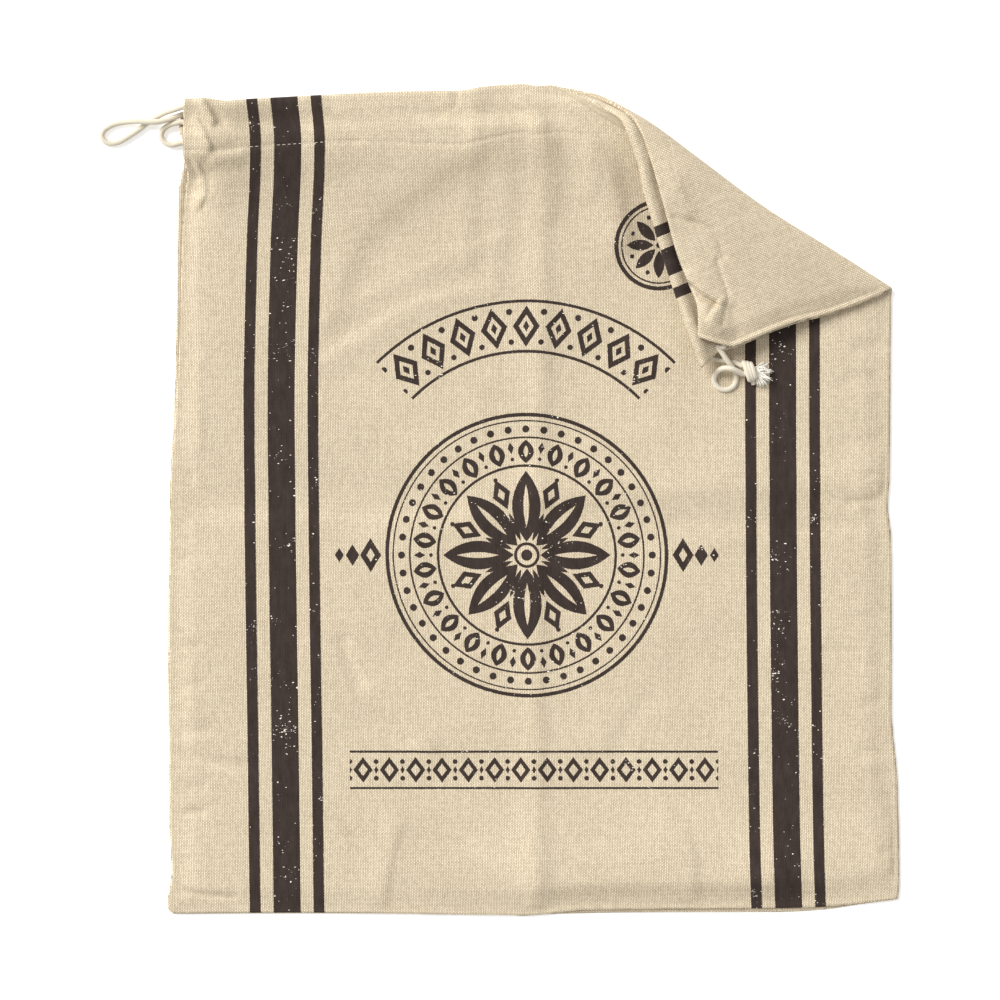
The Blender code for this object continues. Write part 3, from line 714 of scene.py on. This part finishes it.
class Field:
    """A number that varies over a surface: the output of a node, with arithmetic."""

    def __init__(self, tree, socket):
        self.tree = tree
        self.socket = socket

    def apply(self, operation, *others):
        inputs = dict(enumerate((self, *others)))
        return new_field(self.tree, "Math", inputs, operation=operation)

    __add__ = __radd__ = partialmethod(apply, "ADD")
    __sub__ = partialmethod(apply, "SUBTRACT")
    __mul__ = __rmul__ = partialmethod(apply, "MULTIPLY")
    __truediv__ = partialmethod(apply, "DIVIDE")
    __abs__ = partialmethod(apply, "ABSOLUTE")
    floor = partialmethod(apply, "FLOOR")
    fraction = partialmethod(apply, "FRACT")
    cosine = partialmethod(apply, "COSINE")
    root = partialmethod(apply, "SQRT")
    most = partialmethod(apply, "MAXIMUM")
    least = partialmethod(apply, "MINIMUM")

    def __rsub__(self, other):
        return self * -1 + other

    def step(self, low, high):
        """0 where the field is at low, 1 where it is at high, and a smooth step between."""
        inputs = {"Value": self, "From Min": low, "From Max": high}
        return new_field(self.tree, "MapRange", inputs, interpolation_type="SMOOTHSTEP")


class Surface:
    """Builds one material's nodes. Colours are (red, green, blue, 1)."""

    def __init__(self, name, roughness, sheen=0):
        self.material = bpy.data.materials.new(name)
        self.material.use_nodes = True
        self.tree = self.material.node_tree
        self.shader = self.tree.nodes["Principled BSDF"]
        self.put("Roughness", roughness)
        self.put("Sheen Weight", sheen)
        self.put("Specular IOR Level", SPECULAR)

    def put(self, name, value):
        self.shader.inputs[name].default_value = value

    def uv_mm(self):
        uv = new_field(self.tree, "UVMap", {}, uv_map="cloth")
        split = add_node(self.tree, "SeparateXYZ", {0: uv})
        return [Field(self.tree, split.outputs[i]) * 1000 for i in (0, 1)]

    def texture(self, kind, x, y, inputs):
        """A texture over a plane of (x, y)."""
        place = new_field(self.tree, "CombineXYZ", {0: x, 1: y})
        return new_field(self.tree, kind, {**inputs, "Vector": place}, noise_dimensions="2D")

    def noise(self, x, y, detail=2, rough=0.5):
        """Smooth noise about 0, from -1 to 1."""
        inputs = {"Scale": 1, "Detail": detail, "Roughness": rough}
        return (self.texture("TexNoise", x, y, inputs) - 0.5) * 2

    def random(self, x, y):
        return self.texture("TexWhiteNoise", x, y, {})

    def blend(self, factor, low, high):
        """Mixes two colours, each plain or a field."""
        inputs = {0: factor, 6: low, 7: high}
        return new_field(self.tree, "Mix", inputs, 2, data_type="RGBA")

    def finish(self, colour, height, depth):
        """Sets the colour, and bump from a height field; depth is what 1 stands for, in mm."""
        self.tree.links.new(colour.socket, self.shader.inputs["Base Color"])
        node = add_node(self.tree, "Bump", {"Distance": depth * MM, "Height": height})
        self.tree.links.new(node.outputs[0], self.shader.inputs["Normal"])
        return self.material


def linear(red, green, blue):
    """A colour of 0 to 255 steps as the shader's linear numbers."""
    return *(((c / 255 + 0.055) / 1.055) ** 2.4 for c in (red, green, blue)), 1


WARP_PITCH = 0.8656
WEFT_PITCH = 0.7135
YARN_WAVE = 0.42
WARP_CROWN = 0.75
WEFT_CROWN = 0.4
YARN_UNEVEN = 0.4
# How much the yarns' height lightens the colour: painted shade in the pores of the weave.
SHADE_OF_HEIGHT = 0.95
SHADE_OF_GRAIN = 0.16
SHADE_OF_YARN = 0.1
SHADE_OF_CLOUDS = 0.04
SHADE_SHIFT = 0.108
THREAD_LIGHT = linear(247, 232, 204)
# The darkest colour: the yarns' own darker tone, and the painted shade deep in the weave's pores.
THREAD_DARK_AND_PORE_SHADE = linear(132, 113, 84)
INK_DARK = linear(46, 36, 31)
INK_LIGHT = linear(76, 63, 57)
FLAKE = linear(252, 243, 226)
WEAVE_DEPTH = 0.12

# Stripes of one side of the print: start and end from the middle of the wide one.
STRIPES = ((-19.5, -13.7), (-6.9, 7.5), (14.3, 20))
STRIPES_AT = 132.9


def weave(surface):
    """Plain weave: its place on the cloth, its height field and its colour, which has painted shade where
    the yarns dip.
    """
    u, v = surface.uv_mm()
    noise = surface.noise
    # Yarns wander slowly, then more along their own run, then a little everywhere.
    u_bent = u + noise(u * 0.07, v * 0.025) * 0.5 + noise(u * 0.4, v * 0.03) * 0.12
    u_bent = u_bent + noise(u * 0.3 + 3, v * 0.3) * 0.3
    v_bent = v + noise(u * 0.03 + 9, v * 0.08) * 0.5
    v_bent = v_bent + noise(u * 0.3 + 7, v * 0.35) * 0.25
    warp, weft = u_bent / WARP_PITCH, v_bent / WEFT_PITCH
    warp_index, weft_index = warp.floor(), weft.floor()
    across = (warp - warp_index) * 2 - 1
    along = (weft - weft_index) * 2 - 1
    wave = ((weft - 0.5 + warp_index) * math.pi).cosine()
    cross_wave = ((warp - 0.5 + weft_index) * math.pi).cosine()
    thick = noise(warp_index * 3.7, v * 0.05, 1) * 0.2
    thin = noise(u * 0.05, weft_index * 3.7, 1) * 0.2
    warp_height = wave * YARN_WAVE + (1 - across * across) * WARP_CROWN + thick * YARN_UNEVEN
    weft_height = cross_wave * -YARN_WAVE + (1 - along * along) * WEFT_CROWN + thin * YARN_UNEVEN
    height = warp_height.most(weft_height)
    grain = surface.random(warp_index, (weft * 0.5 + warp_index * 0.5).floor())
    cloudy = noise(u * 0.018, v * 0.018, 3)
    # Low yarns are darker: painted shade in the pores. Grain, uneven yarns and clouds are the cloth's own
    # tone.
    shade = height * SHADE_OF_HEIGHT + (grain - 0.5) * SHADE_OF_GRAIN
    shade = shade + (thick + thin) * SHADE_OF_YARN + cloudy * SHADE_OF_CLOUDS
    shade = (shade - SHADE_SHIFT).most(0).least(1.2)
    return u, v, height, surface.blend(shade, THREAD_DARK_AND_PORE_SHADE, THREAD_LIGHT)


def plain_cloth():
    surface = Surface("linen_plain", 0.92, 0.05)
    _, _, height, colour = weave(surface)
    return surface.finish(colour, height, WEAVE_DEPTH)


class Drawing:
    """Distances, in millimetres, inside the shapes of a printed figure: above 0 is inked."""

    def __init__(self, x, y):
        self.x, self.y = x, y
        self.inked = None

    def add(self, *shapes):
        for shape in shapes:
            self.inked = shape if self.inked is None else self.inked.most(shape)

    def polar(self, x, y):
        dx, dy = self.x - x, self.y - y
        return (dx * dx + dy * dy).root(), dx.apply("ARCTAN2", dy)

    def spun(self, radius, angle, count, shift=0):
        """Places in one of count equal sectors, along and across its middle line."""
        part = (angle * (count / (2 * math.pi)) + (0.5 + shift)).fraction() - 0.5
        turn = part * (2 * math.pi / count)
        return radius * turn.apply("SINE"), radius * turn.cosine()

    def repeated(self, x, pitch, shift=0):
        return ((x / pitch + (0.5 + shift)).fraction() - 0.5) * pitch


def ring(radius, at, half):
    return half - abs(radius - at)


def disc(x, y, radius):
    return radius - (x * x + y * y).root()


def lozenge(x, y, width, height):
    scale = width * height / math.hypot(width, height)
    return (1 - abs(x) / width - abs(y) / height) * scale


def petal(x, y, start, end, width):
    t = (y - start) / (end - start)
    return (t * (1 - t)) * (4 * width) - abs(x)


def without(shape, hole):
    return shape.least(hole * -1)


MEDALLION = (-2.9, -29.4)
ARCH = (-2.9, -7.2)
ARCH_RADIUS = 98.7
ARCH_HALF = 0.785
BAND_X, BAND_Y = -0.5, -142.8
BAND_HALF = 98
BAND_PITCH = 14
BADGE = (67.3, 134.3)


def add_medallion(drawing):
    radius, angle = drawing.polar(*MEDALLION)
    drawing.add(ring(radius, 74.2, 1), ring(radius, 71, 0.4), ring(radius, 62.2, 0.5))
    # The border: dots, then leaves with lozenges between them.
    x, y = drawing.spun(radius, angle, 44)
    drawing.add(disc(x, y - 66.6, 1.9))
    x, y = drawing.spun(radius, angle, 22)
    drawing.add(without(petal(x, y, 48.5, 61, 4.2), petal(x, y, 51.5, 58, 1.2)))
    x, y = drawing.spun(radius, angle, 22, 0.5)
    drawing.add(lozenge(x, y - 57, 1.7, 3.2), disc(x, y - 51, 1))
    drawing.add(ring(radius, 47.2, 0.7))
    # The flower: petals, lozenges between them, and its heart.
    x, y = drawing.spun(radius, angle, 8)
    drawing.add(without(petal(x, y, 7, 44.5, 7.6), petal(x, y, 15, 37, 1.5)))
    x, y = drawing.spun(radius, angle, 8, 0.5)
    drawing.add(without(lozenge(x, y - 34.5, 5, 8.5), lozenge(x, y - 34.5, 2, 3.4)))
    drawing.add(petal(x, y, 8, 24, 1.6), disc(x, y - 42.6, 1.2))
    drawing.add(ring(radius, 6, 0.8), 3 - radius)
    # Three lozenges on either side.
    x, y = abs(drawing.x - MEDALLION[0]), drawing.y - MEDALLION[1]
    drawing.add(without(lozenge(x - 83, y, 5.6, 9), lozenge(x - 83, y, 2.2, 3.6)))
    drawing.add(lozenge(x - 92.6, y, 3.6, 5.8), lozenge(x - 99.6, y, 2.4, 3.8))


def add_arch(drawing):
    radius, angle = drawing.polar(*ARCH)
    room = (ARCH_HALF - abs(angle)) * ARCH_RADIUS
    rules = ring(radius, 112, 0.8).most(ring(radius, 85.4, 0.8))
    drawing.add(rules.least(room))
    x, y = drawing.spun(radius, angle, 36)
    y = y - ARCH_RADIUS
    motif = without(lozenge(x, y, 7.2, 11), lozenge(x, y, 4, 6.1)).most(lozenge(x, y, 1.7, 3))
    x, y = drawing.spun(radius, angle, 36, 0.5)
    dots = disc(x, y - 106.6, 1.7).most(disc(x, y - 90.6, 1.5))
    drawing.add(motif.most(dots).least(room + 0.4))


def add_band(drawing):
    from_middle, y = drawing.x - BAND_X, drawing.y - BAND_Y
    room = BAND_HALF - abs(from_middle)
    tall = abs(y)
    x = drawing.repeated(from_middle, BAND_PITCH, 0.5)
    motif = without(lozenge(x, y, 5.2, 6.8), lozenge(x, y, 2.5, 3.3))
    x = drawing.repeated(from_middle, BAND_PITCH)
    motif = motif.most(disc(x, tall - 4.4, 1.3)).most(lozenge(x, y, 1.2, 2))
    drawing.add(motif.most(ring(tall, 9.6, 0.6)).least(room))


def add_badge(drawing):
    radius, angle = drawing.polar(*BADGE)
    drawing.add(ring(radius, 22.9, 1.1), ring(radius, 20.1, 0.45), 1.7 - radius)
    x, y = drawing.spun(radius, angle, 8)
    drawing.add(petal(x, y, 3, 17.6, 2.9))
    x, y = drawing.spun(radius, angle, 8, 0.5)
    drawing.add(disc(x, y - 15.6, 1.2))


def add_stripes(drawing):
    """Stripes along both sides."""
    from_middle = (abs(drawing.x) - STRIPES_AT) * drawing.x.apply("SIGN")
    for start, end in STRIPES:
        drawing.add((end - start) / 2 - abs(from_middle - (start + end) / 2))


def printed_cloth():
    surface = Surface("linen_printed", 0.9, 0.05)
    noise = surface.noise
    u, v, height, colour = weave(surface)
    drawing = Drawing(u, v)
    for add_figure in (add_stripes, add_medallion, add_arch, add_band, add_badge):
        add_figure(drawing)
    ragged = noise(u * 1.1, v * 1.1, 2, 0.7) * 0.28
    ink = (drawing.inked + ragged).step(-0.1, 0.12)
    # Flaked spots come in patches: small round specks and more angular chips.
    patches = noise(u * 0.05 + 31, v * 0.07, 2) * 0.7
    specks = noise(u * 0.45, v * 0.8, 1, 0.5) + patches * 0.5
    chips = noise(u * 0.32 + 5, v * 0.6, 4, 0.8) + patches
    flaked = specks.step(0.62, 0.66).most(chips.step(0.62, 0.65))
    # The ink is lighter in slow patches and on the yarns' crowns, and darker where the yarns dip.
    ink_tone = noise(u * 0.25, v * 0.1, 3, 0.7) * 0.5 + height * 0.35 + 0.05
    inked = surface.blend(ink_tone.most(0).least(1), INK_DARK, INK_LIGHT)
    printed = surface.blend(ink, colour, surface.blend(flaked, inked, FLAKE))
    return surface.finish(printed, height, WEAVE_DEPTH)


# --- Cord ---
CORD_SIDES = 32
BRAID_STRANDS = 8
BRAID_LAY = 11.5
YARN_DEPTH = 0.08
BRAID_DEPTH = 0.17
SEEN_STEP, HIDDEN_STEP = 0.3, 2


def smooth_path(points, seen):
    """A smooth curve through the points, sampled closely on the stretches that are in sight."""
    points = np.array(points, float)
    run = np.linalg.norm(np.diff(points, axis=0), axis=1)
    slope = np.empty_like(points)
    slope[1:-1] = (
        (points[2:] - points[1:-1]) / run[1:, None] * run[:-1, None]
        + (points[1:-1] - points[:-2]) / run[:-1, None] * run[1:, None]
    ) / (run[1:] + run[:-1])[:, None]
    slope[0] = (points[1] - points[0]) / run[0]
    slope[-1] = (points[-1] - points[-2]) / run[-1]
    found = []
    for i, length in enumerate(run):
        steps = max(1, round(length / (SEEN_STEP if seen[i] else HIDDEN_STEP)))
        ends = points[i], slope[i], points[i + 1], slope[i + 1]
        found += [hermite(k / steps, length, *ends) for k in range(steps)]
    return np.array([*found, points[-1]])


def braid(turn, along):
    """Height, from 0 to 1, of a round braid's surface at an angle in turns and a distance."""
    one = BRAID_STRANDS * (turn + along / BRAID_LAY)
    two = BRAID_STRANDS * (turn - along / BRAID_LAY)
    over = (np.floor(one) + np.floor(two)) % 2 < 0.5
    across = np.where(over, one, two) % 1 - 0.5
    length = np.where(over, two, one) % 1 - 0.5
    return np.sqrt(np.maximum(0.0, 1 - (2 * across) ** 2)) * (1 - 1.6 * length**2)


def tube(path, radius, sides, depth=0):
    """Points, faces and (turn, distance) of a capped tube along a path, with a braid's relief."""
    tangent = unit(np.gradient(path, axis=0))
    side = np.cross(tangent[0], (0.0, 0.0, 1.0))
    sides_x = np.empty_like(path)
    for i, direction in enumerate(tangent):
        side = unit(side - direction * side.dot(direction))
        sides_x[i] = side
    sides_y = np.cross(tangent, sides_x)
    turn, along = np.meshgrid(np.arange(sides) / sides, distances(path))
    radius = np.broadcast_to(np.reshape(radius, (-1, 1)), along.shape)
    if depth:
        radius = radius - depth * (1 - braid(turn, along))
    angle = 2 * math.pi * turn[..., None]
    points = (
        path[:, None]
        + radius[..., None] * (np.cos(angle) * sides_x[:, None] + np.sin(angle) * sides_y[:, None])
    ).reshape(-1, 3)
    index = np.arange(len(points)).reshape(len(path), sides)
    after = np.roll(index, -1, axis=1)
    faces = np.stack((index[:-1], after[:-1], after[1:], index[1:]), axis=-1).reshape(-1, 4)
    caps = [index[0, ::-1].tolist(), index[-1].tolist()]
    return points, faces.tolist() + caps, np.stack((turn, along), axis=-1).reshape(-1, 2)


def cord_route():
    """The drawstring's points, and whether each stretch between two of them is in sight."""
    front_x, back_x = np.array(FRONT_RUN, float), np.array(BACK_RUN, float)
    front_y, back_y = FRONT_CORD(front_x), BACK_CORD(back_x)
    in_front = np.stack(folded(front_x, front_y, front_inside_z(front_x, front_y) + CORD_ABOVE), -1)
    in_back = np.stack(folded(back_x, back_y, 0 * back_x + BACK_Z + CORD_ABOVE), -1)
    turn_x, turn_y = np.array(TURN_BACK, float).T
    turn_back = np.stack((turn_x, turn_y, back_inside_z(turn_x, turn_y) + CORD_ABOVE), -1)
    legs = (
        (KNOT_TO_FRONT, True),
        (in_front, False),
        (LEFT_LOOP, True),
        (turn_back, False),
        (LEFT_SMALL_LOOP, True),
        (in_back, False),
        (RIGHT_LOOP, True),
    )
    points = [tuple(point) for leg, _ in legs for point in leg]
    seen = [in_sight for leg, in_sight in legs for _ in leg]
    return points, [a or b for a, b in zip(seen, seen[1:])]


def cotton(name, light, dark, strands=0):
    surface = Surface(name, 0.85, 0.2)
    turn, along = surface.uv_mm()
    shade = surface.noise(turn * 30, along * 5, 2) * 0.25 + 0.75
    # Darker in the grooves between the braid's strands: painted shade. The noise above is the cotton's own
    # uneven tone.
    for way in (1, -1) if strands else ():
        strand = (turn * strands + along * (way * strands / BRAID_LAY)).fraction()
        shade = shade - abs(strand - 0.5).step(0.3, 0.5) * 0.45
    return surface.finish(surface.blend(shade.most(0).least(1), dark, light), shade, YARN_DEPTH)


def add_drawstring(material):
    path = smooth_path(*cord_route())
    mesh, faces, uv = tube(path, CORD / 2, CORD_SIDES, BRAID_DEPTH)
    return add_mesh("drawstring_braided", mesh * MM, faces, [material], uv), path


# --- Knot, stitches and tuft ---
WRAP_START, WRAP_TURNS = -0.2, 2.6
WRAP_ACROSS, WRAP_UP = 4.6, 2.3
WRAP_FROM, WRAP_LENGTH = -2.4, 4.2
WRAP_TAPER, WRAP_LEAN = 0.2, 0.28
WRAP_RADIUS, END_RADIUS = 1.5, 1.45
CORD_ENDS = (
    ((110.2, 70.7, 5.4), (117.4, 68.6, 6.6)),
    ((110, 66.2, 7.2), (117.4, 66.6, 7.4)),
    ((114.6, 65, 6.6), (116.4, 61, 4.6)),
)


def add_knot(material):
    """The cord wrapped on itself, with its cut ends."""
    t = np.linspace(0, 1, 190)
    turn = 2 * math.pi * (WRAP_TURNS * t + WRAP_START)
    y = WRAP_ACROSS * np.cos(turn) * (1 - WRAP_TAPER * t)
    x = WRAP_FROM + WRAP_LENGTH * t - WRAP_LEAN * y
    wrap = np.stack((x, y, WRAP_UP * np.sin(turn)), -1) + KNOT
    parts = [tube(wrap, WRAP_RADIUS, CORD_SIDES, BRAID_DEPTH)]
    for start, end in CORD_ENDS:
        parts.append(tube(np.linspace(start, end, 24), END_RADIUS, CORD_SIDES, BRAID_DEPTH))
    return join_tubes("knot_wrapped", parts, material)


STITCH_LENGTH = 2.3
STITCH_GAP = 0.55
STITCH_THICK = 0.17
STITCH_BURIED = 0.6
STITCHES_FROM, STITCHES_TO = -183.5, 62
FLAP_STITCHES = (
    (668, 141), (674, 175), (684, 205), (697, 222), (710, 235), (718, 252), (722, 270),
    (726, 288), (727.5, 299), (725, 308), (722, 318), (723, 330), (727, 340),
)


def stitch_dashes(path):
    """Dashes of thread along a path."""
    run = distances(path)
    parts = []
    at = STITCH_GAP
    while at + STITCH_LENGTH < run[-1]:
        t = np.linspace(0, 1, 7)
        places = at + STITCH_LENGTH * t
        dash = np.stack([np.interp(places, run, path[:, k]) for k in range(3)], -1)
        arch = np.sin(math.pi * t)
        dash[:, 2] += STITCH_THICK * (arch - STITCH_BURIED)
        parts.append(tube(dash, STITCH_THICK * (0.45 + 0.55 * arch), 6))
        at += STITCH_LENGTH + STITCH_GAP
    return parts


def add_stitches(material):
    """The stitches that hold down the casing, on the front and on the folded corner."""
    x = np.linspace(STITCHES_FROM, STITCHES_TO, 600)
    y = FRONT.mouth(x) - STITCH_DEPTH(x)
    on_front = np.stack(folded(x, y, front_outer_z(x, y) + CLOTH / 2), -1)
    route = CORNER + np.array(FLAP_STITCHES) * (STEP, -STEP)
    run = distances(route)
    places = np.linspace(0, run[-1], 300)
    x, y = open_place(np.interp(places, run, route[:, 0]), np.interp(places, run, route[:, 1]))
    on_flap = np.stack(folded(x, y, back_outer_z(x, y) - CLOTH / 2), -1)
    return join_tubes("casing_stitches", stitch_dashes(on_front) + stitch_dashes(on_flap), material)


def join_tubes(name, parts, material):
    points, faces, uv, base = [], [], [], 0
    for part_points, part_faces, part_uv in parts:
        points.append(part_points)
        uv.append(part_uv)
        faces += [[i + base for i in face] for face in part_faces]
        base += len(part_points)
    return add_mesh(name, np.concatenate(points) * MM, faces, [material], np.concatenate(uv))


TUFT_YARNS = 130
YARN_RADIUS = 0.33
YARN_TAPER = 0.45
TUFT_LOWEST = BODY_TOP + 1.6
TUFT_START = np.array((116.6, 67.4, 6.6))


def add_tuft(material):
    """Loose yarns of the cord's frayed ends."""
    rng = random.Random(7)
    parts = []
    for _ in range(TUFT_YARNS):
        spread = rng.uniform(-1.3, 0.95)
        reach = rng.uniform(7, 10.6) * (1 - 0.3 * abs(spread + 0.1))
        start = TUFT_START + np.array([rng.uniform(-1, 1) for _ in range(3)]) * (0.5, 2.2, 1.3)
        direction = np.array((math.cos(spread), math.sin(spread), rng.uniform(-0.3, 0.1)))
        curl = np.array([rng.uniform(-1, 1) for _ in range(3)]) - (0, 1.6, 0)
        t = np.linspace(0, 1, 9)[:, None]
        path = start + direction * reach * t + curl * t * t + curl[::-1] * np.sin(5 * t) * 0.2
        path[:, 2] = np.maximum(path[:, 2], TUFT_LOWEST)
        parts.append(tube(path, YARN_RADIUS * (1 - YARN_TAPER * t), 5))
    return join_tubes("knot_tuft", parts, material)


# --- Build ---
LEFT_WANDER = Curve(
    (-218.4, 2.5), (-127, 1.4), (-53.1, 0.3), (52.5, -0.7), (134.3, 1), (187.1, 3.3), (211.9, 1.2),
)
RIGHT_WANDER = Curve((-215.2, 1.7), (-190.4, 0.6), (78.9, -1.7), (150, -1), (200, 1.6), (226, 2.4))
STRIP_SQUEEZE = 0.045


def front_wander(x, y):
    """How far the print and weave stray sideways."""
    t = smooth((x + STRIPES_AT) / (2 * STRIPES_AT))
    drawn_in = STRIP_SQUEEZE * (x - STRIPES_AT) * smooth((x - 60) / 30) * smooth((y - 150) / 40)
    return mix(LEFT_WANDER(y), RIGHT_WANDER(y), t) - drawn_in


def no_wander(x, y):
    return 0 * x


def even_depths(*spans):
    """Depths below the mouth, from the bottom seam up: spans are (to depth, step)."""
    depths, depth = [], HEIGHT
    for end, step in spans:
        count = round((depth - end) / step)
        depths += list(np.linspace(depth, end, count, endpoint=False))
        depth = end
    return depths


printed = printed_cloth()
plain = plain_cloth()

front = add_cloth(
    "front_cloth",
    FRONT,
    spread_columns(((0.11, 50), (0.89, 170), (1, 36))),
    sheet_rows(even_depths((429, 0.8), (370, 1.4), (118, 2), (60, 1.5), (HEM, 1)), 24, 10, -1),
    front_outer_z,
    front_hem_z,
    +1,
    front_wander,
    [printed, plain],
)
back = add_cloth(
    "back_cloth",
    BACK,
    spread_columns(((0.014, 9), (0.5, 26), (0.78, 90), (1, 130))),
    sheet_rows(even_depths((428, 1), (130, 6), (76, 1.5), (HEM, 0.75)), 34, 10, +1),
    back_outer_z,
    back_hem_z,
    -1,
    no_wander,
    [plain, plain],
)
cord_cotton = cotton("cotton_braid", linear(236, 229, 213), linear(196, 183, 156), BRAID_STRANDS)
yarn_cotton = cotton("cotton_yarn", linear(252, 248, 238), linear(238, 231, 214))
drawstring, cord_path = add_drawstring(cord_cotton)
knot = add_knot(cord_cotton)
tuft = add_tuft(yarn_cotton)
thread = cotton("cotton_thread", linear(234, 224, 202), linear(216, 204, 180))
stitches = add_stitches(thread)
for piece, node in (
    (front, "front_panel"),
    (back, "back_panel"),
    (drawstring, "drawstring"),
    (knot, "knot"),
    (tuft, "knot"),
    (stitches, "front_panel"),
):
    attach(piece, "root")
    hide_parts(node)

# --- Floor, light and camera ---
FRAME_WIDTH = 0.528
VIEW_CENTRE = (-0.0177, -0.0003)
SCALE_HEIGHT = 0.004
LENS = 150
SENSOR = 36
KEY_FROM = (-1, 0.75, 0.95)
KEY_STRENGTH = 3.75
KEY_SPREAD = 0.55
SKY_STRENGTH = 0.56
FLOOR_HALF = 3
FLOOR_Z = -0.0002
FLOOR_GREY = 0.9
FLOOR_GLOW = 0.35
WHITE = (1, 1, 1, 1)

floor_corners = [(FLOOR_HALF * x, FLOOR_HALF * y, FLOOR_Z) for x, y in ((-1, -1), (1, -1), (1, 1), (-1, 1))]
floor_data = bpy.data.meshes.new("floor")
floor_data.from_pydata(floor_corners, [], [(0, 1, 2, 3)])
floor = add_object("floor", floor_data)
pale = Surface("pale_floor", 0.95)
pale.put("Base Color", (FLOOR_GREY, FLOOR_GREY, FLOOR_GREY, 1))
pale.put("Emission Color", WHITE)
pale.put("Emission Strength", FLOOR_GLOW)
floor_data.materials.append(pale.material)

world = bpy.data.worlds.new("studio")
world.use_nodes = True
world.node_tree.nodes["Background"].inputs["Color"].default_value = WHITE
world.node_tree.nodes["Background"].inputs["Strength"].default_value = SKY_STRENGTH
bpy.context.scene.world = world

key_data = bpy.data.lights.new("key", "SUN")
key_data.energy = KEY_STRENGTH
key_data.angle = KEY_SPREAD
key = add_object("key", key_data)
key.location = KEY_FROM
key.rotation_euler = (-Vector(KEY_FROM)).to_track_quat("-Z", "Y").to_euler()

camera_data = bpy.data.cameras.new("camera")
camera_data.lens = LENS
camera_data.sensor_width = SENSOR
camera = add_object("camera", camera_data)
camera.location = (*VIEW_CENTRE, FRAME_WIDTH * LENS / SENSOR + SCALE_HEIGHT)
bpy.context.scene.camera = camera
bpy.context.scene.view_settings.view_transform = "Standard"
